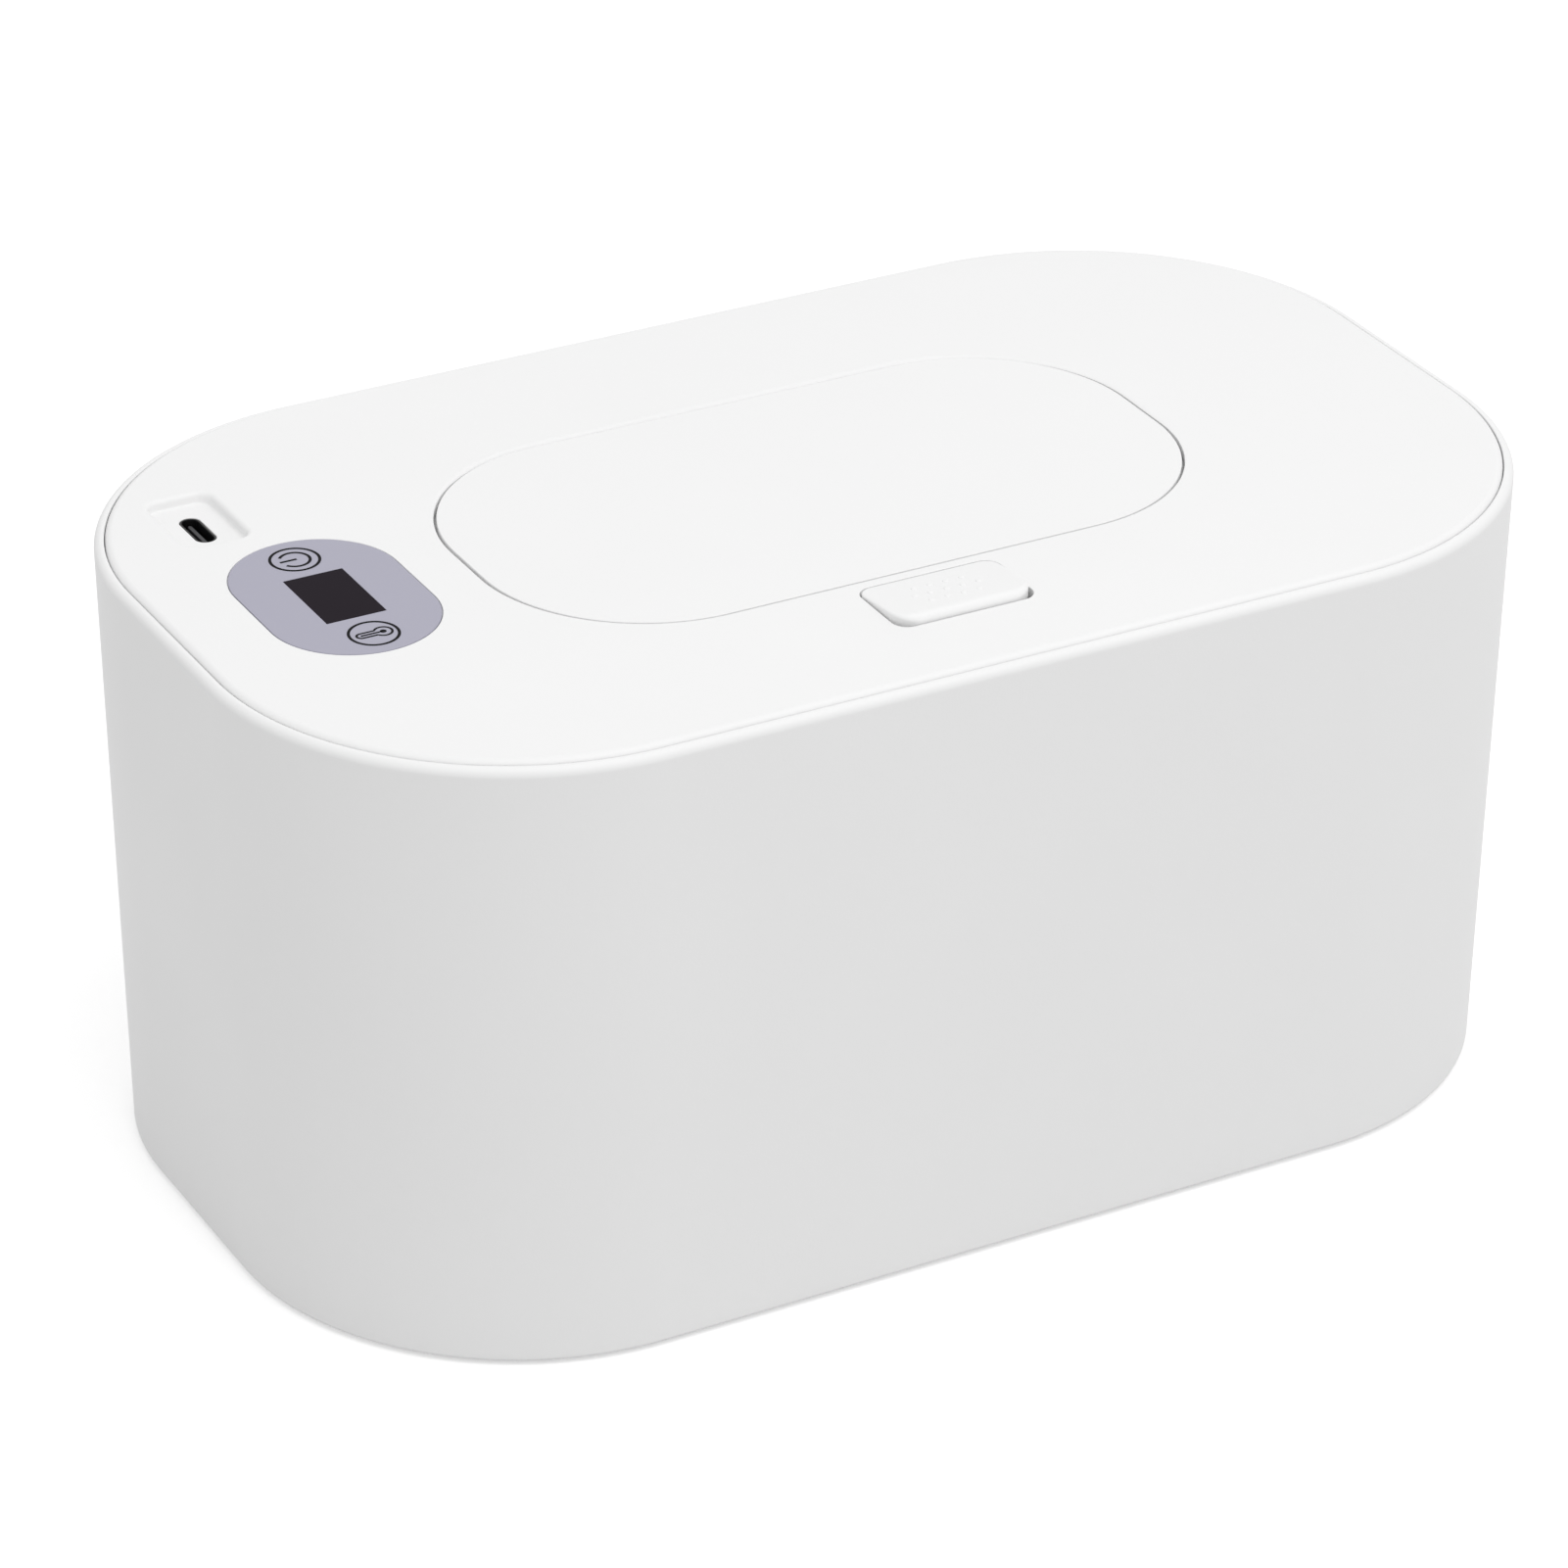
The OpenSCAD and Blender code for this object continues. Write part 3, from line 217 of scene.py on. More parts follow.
class WarmerButton(bpy.types.PropertyGroup):
    pocket_length: size("Pocket length", 23.6, "Length of the button's pocket")
    pocket_width: size("Pocket width", 14.2, "Width of the button's pocket")
    pocket_radius: size("Pocket radius", 2.6, "Corner radius of the pocket")
    pocket_edge: size("Pocket edge", 0.12, "Rounding of the pocket's edge")
    guide_wall: size("Guide wall", 1.3, "Thickness of the guide under the pocket")
    guide_depth: size("Guide depth", 5.5, "Depth of the guide's lower edge below the lid's top")
    gap: size("Gap", 0.25, "Gap round the button")
    corner_radius: size("Corner radius", 3.8, "Radius of the button's front corners")
    rear_corner_radius: size("Rear corner radius", 2.4, "Radius of the corners beside the flap")
    rise: size("Rise", 1.5, "How far the button's front edge stands above the lid")
    front_round: size("Front rounding", 1.3, "Rounding of the raised front edge")
    side_round: size("Side rounding", 0.32, "Rounding of the edges at both sides")
    rear_round: size("Rear rounding", 0.16, "Rounding of the edge beside the flap")
    skirt_depth: size("Skirt depth", 4.85, "Depth of the button's wall below the lid's top")
    travel: size("Travel", 1.6, "How far the button goes down, which shortens its springs")
    dot_diameter: size("Dot diameter", 1, "Diameter of a grip dot")
    dot_height: size("Dot height", 0.2, "Height of a grip dot")
    dot_pitch: size("Dot pitch", 2.7, "Distance between grip dots")


class WarmerPanel(bpy.types.PropertyGroup):
    film_gap: size("Film gap", 0.15, "Gap between the film and the edge of its recess")
    film_edge: size("Film edge", 0.06, "Rounding of the film's edge")
    recess_edge: size("Recess edge", 0.12, "Rounding of the recess's edge")
    window_gap: size("Window gap", 0.03, "Gap between the window and the film")
    ink_height: size("Ink height", 0.03, "Height of the printed symbols above the film")
    line: size("Line", 0.46, "Width of a printed line")
    ring_radius: size("Ring radius", 3.72, "Radius of the ring round a symbol")
    arc_radius: size("Arc radius", 2.3, "Radius of the power symbol's open ring")
    bulb_radius: size("Bulb radius", 1.35, "Radius of the thermometer's bulb")
    stem_radius: size("Stem radius", 0.72, "Half of the thermometer's width above its bulb")


class WarmerPort(bpy.types.PropertyGroup):
    pocket_width: size("Pocket width", 10.4, "Width of the port's pocket, along the lid")
    pocket_length: size("Pocket length", 16.8, "Length of the port's pocket, across the lid")
    pocket_depth: size("Pocket depth", 1.8, "Depth of the port's pocket")
    pocket_radius: size("Pocket radius", 2.2, "Corner radius of the pocket")
    pocket_edge: size("Pocket edge", 0.8, "Rounding of the pocket's edge")
    slot_width: size("Slot width", 3.4, "Width of the slot for the plug")
    slot_length: size("Slot length", 9, "Length of the slot for the plug")
    shell: size("Shell", 0.3, "Thickness of the port's shell")
    lip: size("Lip", 0.7, "How far the sleeve and tongue reach up into the slot")
    tongue: size("Tongue", 0.7, "Thickness of the tongue in the port")
    tongue_length: size("Tongue length", 6.7, "Length of that tongue")


class WarmerFinish(bpy.types.PropertyGroup):
    shell: tint("Shell", (0.945, 0.945, 0.945), "White moulded plastic of the tub, lid, flap and button")
    shell_roughness: share("Shell roughness", 0.52, "Roughness of the white plastic")
    silicone: tint("Silicone", (0.86, 0.87, 0.88), "Seal, gasket and membrane")
    pads: tint("Pads", (0.78, 0.79, 0.8), "Foot pads")
    film: tint("Film", (0.655, 0.65, 0.71), "Printed film of the panel")
    window: tint("Window", (0.125, 0.1, 0.13), "Smoked window of the display")
    ink: tint("Ink", (0.02, 0.02, 0.025), "Printed symbols")
    port: tint("Port", (0.03, 0.03, 0.035), "Shell of the port")
    tongue: tint("Tongue", (0.2, 0.2, 0.21), "Tongue of the port")
    steel: tint("Steel", (0.72, 0.73, 0.75), "Pin, springs and screws")
    aluminium: tint("Aluminium", (0.8, 0.81, 0.82), "Heater plate")
    board: tint("Board", (0.1, 0.32, 0.2), "Circuit boards")


class WarmerStudio(bpy.types.PropertyGroup):
    azimuth: turn("Azimuth", -28.52, "Turn of the camera round the warmer, from the front")
    elevation: turn("Elevation", 28.566, "Angle of the camera above the horizon")
    roll: turn("Roll", 0.31, "Turn of the camera about its own axis")
    distance: size("Distance", 1004.26, "Distance of the camera from the point that it turns round")
    aim_height: size("Aim height", 54.35, "Height of the point that the camera turns round")
    aside: shift("Aside", -4.139, "Shift of the camera to its right")
    above: shift("Above", -4.164, "Shift of the camera upwards")
    lens: bpy.props.FloatProperty(
        name="Lens", description="Focal length on a sensor 36 mm wide", default=148.0, unit="CAMERA")
    floor_size: size("Floor size", 12000, "Length of the floor's sides")
    floor_colour: tint("Floor colour", (0.83, 0.83, 0.83), "Pale floor")
    floor_lift: share("Floor lift", 0.5, "Light that the floor adds where the camera sees it")
    sky: share("Sky", 0.76, "Strength of the even light from all round")
    lamp_power: bpy.props.FloatProperty(
        name="Lamp power", description="Power of the large lamp above the front", default=9.7, unit="POWER")


# Points, rings and shells. A shell is a stack of rings and whether it closes on itself as a hoop.


def arc(centre, radius, start, end, steps=6):
    """Points of an arc, with its angles in degrees."""
    angles = [radians(start + (end - start) * step / steps) for step in range(steps + 1)]
    return [(centre[0] + radius * cos(angle), centre[1] + radius * sin(angle)) for angle in angles]


def bend(distance, height, radius, start, end, steps=6):
    """The arc that rounds a profile's corner at a distance and height."""
    middle = radians((start + end) / 2)
    centre = (distance - copysign(radius, cos(middle)), height - copysign(radius, sin(middle)))
    return arc(centre, radius, start, end, steps)


def without_repeats(points):
    """The points of a loop or path without those that lie on the one before."""
    kept = []
    for point in points:
        if not kept or (Vector(point) - Vector(kept[-1])).length > HAIR / 10:
            kept.append(point)
    return kept


def ring(corner, radius, height, steps, centre=(0.0, 0.0)):
    """Points round a rounded rectangle, given by its corners' centres and the distance from them."""
    points = []
    for quadrant, (side_x, side_y) in enumerate(QUADRANTS):
        middle = (centre[0] + side_x * corner[0], centre[1] + side_y * corner[1])
        points += arc(middle, radius, 90 * quadrant, 90 * quadrant + 90, steps)
    points = without_repeats(points)
    if (Vector(points[0]) - Vector(points[-1])).length < HAIR / 10:
        points.pop()
    return [(x, y, height) for x, y in points]


def swept(corner, profile, closed=False, steps=WIDE_STEPS, centre=(0.0, 0.0)):
    """A profile of distance from the corners' centres and height, swept round a rounded rectangle."""
    places = without_repeats(profile)
    return [ring(corner, radius, height, steps, centre) for radius, height in places], closed


def plate(corner, radius, low, high, ease=0.0, steps=WIDE_STEPS, centre=(0.0, 0.0)):
    """A rounded plate between two heights, with both of its edges rounded."""
    profile = [(radius, low), (radius, high)]
    if ease:
        profile = bend(radius, low, ease, 270, 360) + bend(radius, high, ease, 0, 90)
    return swept(corner, profile, steps=steps, centre=centre)


def rod(x, y, radius, low, high, steps=8):
    """An upright rod."""
    return plate((0.0, 0.0), radius, low, high, steps=steps, centre=(x, y))


def block(low, high):
    """A box between two corners."""
    base = [(low[0], low[1]), (high[0], low[1]), (high[0], high[1]), (low[0], high[1])]
    return [[(x, y, height) for x, y in base] for height in (low[2], high[2])], False


def side_prism(outline, left, right):
    """An outline of places along Y and Z, drawn out along X."""
    return [[(x, y, z) for y, z in outline] for x in (left, right)], False


def cross_rod(y, z, radius, left, right, steps=32):
    """A rod along X."""
    return side_prism(arc((y, z), radius, 0, 360, steps)[:-1], left, right)


def tube(path, radius, across, sides=10):
    """A round wire along a path, with its rings square to a reference direction."""
    points = [Vector(point) for point in path]
    rings = []
    for index, point in enumerate(points):
        before = points[max(index - 1, 0)]
        after = points[min(index + 1, len(points) - 1)]
        heading = (after - before).normalized()
        first = Vector(across).cross(heading).normalized()
        second = heading.cross(first)
        turns = [radians(360 * side / sides) for side in range(sides)]
        rings.append([tuple(point + radius * (cos(a) * first + sin(a) * second)) for a in turns])
    return rings, False


def ribbon(path, width, low, high, closed=False):
    """A flat line of one width along a path in the XY plane."""
    count = len(path)
    left, right = [], []
    for index in range(count):
        before = path[index - 1] if closed or index else path[index]
        after = path[(index + 1) % count] if closed or index < count - 1 else path[index]
        along = (Vector(after) - Vector(before)).normalized()
        side = Vector((-along.y, along.x)) * width / 2
        left.append(Vector(path[index]) + side)
        right.append(Vector(path[index]) - side)
    rings = [[(*a, low), (*b, low), (*b, high), (*a, high)] for a, b in zip(left, right)]
    return rings, closed


def place_object(name, data):
    """A new object of the scene."""
    piece = bpy.data.objects.new(name, data)
    bpy.context.scene.collection.objects.link(piece)
    return piece


def make(name, *shells):
    """A mesh object of shells, each skinned over its rings and closed by caps unless it is a hoop."""
    mesh = bmesh.new()
    for rings, closed in shells:
        rows = [[mesh.verts.new(point) for point in row] for row in rings]
        steps = list(zip(rows, rows[1:]))
        if closed:
            steps.append((rows[-1], rows[0]))
        else:
            mesh.faces.new(rows[0])
            mesh.faces.new(rows[-1])
        for low, high in steps:
            for here in range(len(low)):
                there = (here + 1) % len(low)
                mesh.faces.new((low[here], low[there], high[there], high[here]))
    bmesh.ops.recalc_face_normals(mesh, faces=mesh.faces)
    data = bpy.data.meshes.new(name)
    mesh.to_mesh(data)
    mesh.free()
    return place_object(name, data)


def merge(piece, operation, tool):
    """Joins a tool to a piece, or cuts it out of it, and takes the tool away."""
    modifier = piece.modifiers.new("Combine", "BOOLEAN")
    modifier.operation = operation
    modifier.solver = "MANIFOLD"
    modifier.object = tool
    graph = bpy.context.evaluated_depsgraph_get()
    mesh = bpy.data.meshes.new_from_object(piece.evaluated_get(graph))
    piece.modifiers.clear()
    piece.data = mesh
    bpy.data.objects.remove(tool)
    if not piece.data.polygons:
        raise RuntimeError(f"{piece.name}: nothing is left after {operation.lower()}")


def join(piece, *shells):
    """Joins separate shells to a piece."""
    merge(piece, "UNION", make("tool", *shells))


def cut(piece, *shells):
    """Cuts separate shells out of a piece."""
    merge(piece, "DIFFERENCE", make("tool", *shells))


def dress(piece, material, body, slot, *nodes, angle=32):
    """Gives a piece its finish and shading, ties it to its body and hides the nodes it stands for."""
    piece.data.materials.clear()
    piece.data.materials.append(material)
    piece.data.shade_smooth()
    piece.data.set_sharp_from_angle(angle=radians(angle))
    even = piece.modifiers.new("Even shading", "WEIGHTED_NORMAL")
    even.keep_sharp = True
    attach(piece, body)
    if nodes:
        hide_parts(*nodes)


# Finishes


def linear(colour):
    """A screen colour as the linear colour that shaders take."""
    return (*Color(colour).from_srgb_to_scene_linear(), 1.0)


def set_socket(tree, socket, value):
    """Links a socket to another one, or gives it a plain value."""
    if isinstance(value, bpy.types.NodeSocket):
        tree.links.new(value, socket)
    else:
        socket.default_value = value


def new_material(name):
    """A new material with its node tree and its shader."""
    material = bpy.data.materials.new(name)
    material.use_nodes = True
    return material, material.node_tree, material.node_tree.nodes["Principled BSDF"]


def add_bumps(tree, shader, height, depth):
    """Bumps of a depth, with their height from a socket."""
    bump = tree.nodes.new("ShaderNodeBump")
    bump.inputs["Distance"].default_value = depth
    tree.links.new(height, bump.inputs["Height"])
    tree.links.new(bump.outputs["Normal"], shader.inputs["Normal"])


def surface_group(name, inputs, pattern):
    """A group that varies a colour and a roughness by broad and fine marks of a pattern, built once."""
    if name in bpy.data.node_groups:
        return bpy.data.node_groups[name]
    group = bpy.data.node_groups.new(name, "ShaderNodeTree")
    shared = (("Colour", "Color", (0.8, 0.8, 0.8, 1.0)), ("Shade", "Float", 0.02),
              ("Roughness", "Float", 0.5), ("Roughness Spread", "Float", 0.08))
    for label, kind, value in shared + inputs:
        socket = group.interface.new_socket(name=label, in_out="INPUT", socket_type="NodeSocket" + kind)
        socket.default_value = value
    for label, kind in (("Colour", "Color"), ("Roughness", "Float"), ("Height", "Float")):
        group.interface.new_socket(name=label, in_out="OUTPUT", socket_type="NodeSocket" + kind)
    start = group.nodes.new("NodeGroupInput").outputs
    end = group.nodes.new("NodeGroupOutput").inputs
    place = group.nodes.new("ShaderNodeTexCoord").outputs["Object"]
    broad, fine = pattern(group, place, start)
    shade = math_node(group, "MULTIPLY", broad, start["Shade"])
    spread = math_node(group, "MULTIPLY", math_node(group, "ADD", broad, fine), start["Roughness Spread"])
    group.links.new(mix_colours(group, shade, start["Colour"], (0.0, 0.0, 0.0, 1.0)), end["Colour"])
    group.links.new(math_node(group, "ADD", start["Roughness"], spread), end["Roughness"])
    group.links.new(fine, end["Height"])
    return group


def grain_and_patches(group, place, start):
    """Faint patches and matt grain of a moulded surface."""
    patches = noise_node(group, place, math_node(group, "DIVIDE", 1.0, start["Patch Size"]), 3.0)
    grain = noise_node(group, place, math_node(group, "DIVIDE", 1.0, start["Grain Size"]), 2.0, 0.6)
    return patches, grain


def drawn_lines(group, place, start):
    """Fine lines that drawing, rolling or brushing leaves in metal, as broad and as fine marks."""
    stretch = group.nodes.new("ShaderNodeVectorMath")
    stretch.operation = "MULTIPLY"
    group.links.new(place, stretch.inputs[0])
    group.links.new(start["Line Density"], stretch.inputs[1])
    lines = noise_node(group, stretch.outputs[0], 1.0, 3.0, 0.6)
    return lines, lines


def math_node(tree, operation, first, second):
    """A node that works one number out of two, each a number or a socket."""
    node = tree.nodes.new("ShaderNodeMath")
    node.operation = operation
    for socket, value in zip(node.inputs, (first, second)):
        set_socket(tree, socket, value)
    return node.outputs[0]


def noise_node(tree, vector, scale, detail=2.0, roughness=0.5):
    """Noise along a vector, at a scale that is a number or a socket."""
    node = tree.nodes.new("ShaderNodeTexNoise")
    for label, value in (("Vector", vector), ("Scale", scale), ("Detail", detail), ("Roughness", roughness)):
        set_socket(tree, node.inputs[label], value)
    return node.outputs["Fac"]


def mix_colours(tree, factor, first, second):
    """A blend of two colours, each a socket or a plain colour."""
    node = tree.nodes.new("ShaderNodeMix")
    node.data_type = "RGBA"
    for label, value in (("Factor", factor), (6, first), (7, second)):
        set_socket(tree, node.inputs[label], value)
    return node.outputs[2]


def finish_with(group, name, values, depth, plain):
    """A material with colour, roughness and bumps from a group, and plain settings on its shader."""
    if name in bpy.data.materials:
        return bpy.data.materials[name]
    material, tree, shader = new_material(name)
    effect = tree.nodes.new("ShaderNodeGroup")
    effect.node_tree = group
    for label, value in values.items():
        effect.inputs[label].default_value = value
    tree.links.new(effect.outputs["Colour"], shader.inputs["Base Color"])
    tree.links.new(effect.outputs["Roughness"], shader.inputs["Roughness"])
    add_bumps(tree, shader, effect.outputs["Height"], depth)
    for label, value in plain.items():
        shader.inputs[label].default_value = value
    return material


def moulded(name, colour, roughness, grain=0.4 * MM, depth=0.004 * MM, shade=0.02, patch=30 * MM, **plain):
    """Moulded plastic, rubber or ceramic, with a roughness that its marks vary by a few hundredths."""
    sizes = (("Patch Size", "Float", 0.03), ("Grain Size", "Float", 0.0004))
    group = surface_group("Moulded Surface", sizes, grain_and_patches)
    values = {"Colour": linear(colour), "Shade": shade, "Patch Size": patch, "Grain Size": grain,
              "Roughness": roughness - 0.05, "Roughness Spread": 0.08}
    return finish_with(group, name, values, depth, plain)


def drawn(name, colour, roughness, density, depth=0.002 * MM, shade=0.12):
    """Drawn, rolled or brushed metal, with fewer noise cells a metre along its lines than across."""
    group = surface_group("Drawn Metal", (("Line Density", "Vector", (200.0, 6000.0, 6000.0)),), drawn_lines)
    values = {"Colour": linear(colour), "Line Density": density, "Shade": shade,
              "Roughness": roughness, "Roughness Spread": 0.075}
    return finish_with(group, name, values, depth, {"Metallic": 1.0})


def patterned(name, colours, roughness, wave_scale, bending, depth, threshold):
    """A material with bands of a second colour that wander over a first one."""
    if name in bpy.data.materials:
        return bpy.data.materials[name]
    material, tree, shader = new_material(name)
    place = tree.nodes.new("ShaderNodeTexCoord").outputs["Object"]
    wave = tree.nodes.new("ShaderNodeTexWave")
    for label, value in (("Vector", place), ("Scale", wave_scale), ("Distortion", bending), ("Detail", 1.0)):
        set_socket(tree, wave.inputs[label], value)
    bands = math_node(tree, "GREATER_THAN", wave.outputs["Fac"], threshold)
    first, second = [linear(colour) for colour in colours]
    tree.links.new(mix_colours(tree, bands, first, second), shader.inputs["Base Color"])
    spread = math_node(tree, "MULTIPLY", noise_node(tree, place, 1500.0), 0.15)
    tree.links.new(math_node(tree, "ADD", spread, roughness), shader.inputs["Roughness"])
    add_bumps(tree, shader, bands, depth)
    return material


def solder_mask(colour):
    """A circuit board with copper tracks under its green mask."""
    lighter = tuple(min(1.0, channel * 1.5) for channel in colour)
    return patterned("solder mask", (colour, lighter), 0.3, 260.0, 9.0, 0.03 * MM, 0.7)


def shell_white():
    """The white plastic of the shells."""
    finish = bpy.context.scene.warmer_finish
    return moulded("white moulded plastic", finish.shell, finish.shell_roughness, depth=0.012 * MM)


def silicone_white():
    """The soft white silicone of the seals."""
    return moulded("white silicone", bpy.context.scene.warmer_finish.silicone, 0.6, depth=0.003 * MM,
                   **{"Subsurface Weight": 0.1, "Subsurface Radius": (2 * MM, 2 * MM, 2 * MM)})


def spring_wire():
    """The wire of all the springs."""
    return drawn("spring wire", bpy.context.scene.warmer_finish.steel, 0.3, (4000.0, 4000.0, 4000.0))


# Sizes that several pieces share


def body_corner():
    """Distances of the rim's corner centres from the middle."""
    tub = bpy.context.scene.warmer_tub
    reach = tub.corner_radius - tub.rim_round * tub.lean / (Z_RIM - Z_BASE)
    return TUB_HIGH.x - reach, TUB_HIGH.y - reach


def tub_inner_radius(height):
    """Distance of the tub's inner wall from the corner centres, at a height below the ledge."""
    tub = bpy.context.scene.warmer_tub
    top = tub.corner_radius - tub.wall - tub.ledge_width
    base = tub.corner_radius - tub.lean - tub.wall - 0.3 * MM
    share_up = (height - Z_BASE - tub.floor) / (Z_RIM - tub.ledge_drop - Z_BASE - tub.floor)
    return base + (top - base) * share_up


def lid_radius():
    """Distance of the lid's edge from the corner centres."""
    tub = bpy.context.scene.warmer_tub
    return tub.corner_radius - tub.rim_wall - bpy.context.scene.warmer_lid.gap


def opening():
    """Corner centres and corner radius of the flap's opening."""
    flap = bpy.context.scene.warmer_flap
    corner = (FLAP_LENGTH / 2 - flap.corner_radius, FLAP_WIDTH / 2 - flap.corner_radius)
    return corner, flap.corner_radius + flap.gap


def mouth():
    """Corner centres and corner radius of the inside of the mouth's raised rim."""
    gap = bpy.context.scene.warmer_lid.mouth_gap
    radius = (MOUTH_HIGH.y - MOUTH_LOW.y) / 2 + gap
    return ((MOUTH_HIGH.x - MOUTH_LOW.x) / 2 + gap - radius, 0.0), radius


def corners_of(node, inset_x, inset_y):
    """Places at the four corners of a board, set in from its edges."""
    low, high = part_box(node)
    left, right = low.x + inset_x, high.x - inset_x
    front, rear = low.y + inset_y, high.y - inset_y
    return [(left, front), (right, front), (right, rear), (left, rear)]


def add_posts(piece, places, radius, span, pilot_radius, pilot_span):
    """Adds upright posts to a moulding and cuts a screw's pilot hole in each."""
    join(piece, *[rod(x, y, radius, *span) for x, y in places])
    cut(piece, *[rod(x, y, pilot_radius + 2 * HAIR, *pilot_span) for x, y in places])


def screw_places():
    """Places of the eight screws of the inner cover."""
    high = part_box("inner_cover_screws")[1]
    head = bpy.context.scene.warmer_lid.screw_head_radius
    far_x, far_y = high.x - head, high.y - head
    places = []
    for x, y in ((far_x, far_y - 7 * MM), (28 * MM, far_y)):
        places += [(side_x * x, side_y * y) for side_x in (-1, 1) for side_y in (-1, 1)]
    return places


class WARMER_OT_tub(bpy.types.Operator):
    """Model the tub with its leaning wall, rounded rim, ledge and rounded floor"""
    bl_idname = "warmer.tub"
    bl_label = "Tub"

    def execute(self, context):
        tub = context.scene.warmer_tub
        lean = tub.lean / (Z_RIM - Z_BASE)
        rim_z = Z_RIM + tub.rim_rise
        ledge_z = Z_RIM - tub.ledge_drop
        floor_z = Z_BASE + tub.floor
        ease = 0.25 * MM
        # The shoulder's arc ends at the flat top, where it is nearly level
        shoulder = 72
        shoulder_z = rim_z - tub.rim_round * sin(radians(shoulder))
        inside = tub.corner_radius - tub.rim_wall
        ledge_r = tub.corner_radius - tub.wall - tub.ledge_width
        floor_r = tub_inner_radius(floor_z + tub.floor_round)
        profile = (
            bend(tub.corner_radius - tub.lean, Z_BASE, tub.base_round, 270, 360)
            + arc((tub.corner_radius - tub.rim_round * (1 + lean), shoulder_z), tub.rim_round, 0, shoulder,
                  SMALL_STEPS)
            + bend(inside, rim_z, tub.rim_inner_round, 90, 180)
            + bend(inside, ledge_z, ease, 0, -90, 4)
            + bend(ledge_r, ledge_z, ease, 90, 180, 4)
            + bend(floor_r, floor_z, tub.floor_round, 0, -90, SMALL_STEPS))
        piece = make("tub_moulding", swept(body_corner(), profile))
        pad_r = tub.pad_diameter / 2 + tub.pad_gap
        cut(piece, *[rod(x, y, pad_r, Z_BASE - OVER, PADS_HIGH.z, 16) for x, y in pad_places(tub)])
        dress(piece, shell_white(), "tub", "shell_white", "tub")
        return {"FINISHED"}


def pad_places(tub):
    """Places of the four foot pads."""
    x = PADS_HIGH.x - tub.pad_diameter / 2
    y = PADS_HIGH.y - tub.pad_diameter / 2
    return [(side_x * x, side_y * y) for side_x in (-1, 1) for side_y in (-1, 1)]


class WARMER_OT_foot_pads(bpy.types.Operator):
    """Model the four soft pads under the tub, each with a groove in its face"""
    bl_idname = "warmer.foot_pads"
    bl_label = "Foot Pads"

    def execute(self, context):
        tub = context.scene.warmer_tub
        radius = tub.pad_diameter / 2
        groove = 0.3 * MM
        ease = 0.3 * MM
        profile = (
            [(1.2 * MM, groove), (radius - 2.5 * MM, groove), (radius - 2.2 * MM, PADS_LOW.z)]
            + bend(radius, PADS_LOW.z, ease, 270, 360)
            + [(radius, PADS_HIGH.z)])
        pads = [swept((0.0, 0.0), profile, steps=16, centre=place) for place in pad_places(tub)]
        grey = moulded("grey silicone", context.scene.warmer_finish.pads, 0.65)
        dress(make("rubber_feet", *pads), grey, "tub", "silicone_grey", "foot_pads")
        return {"FINISHED"}


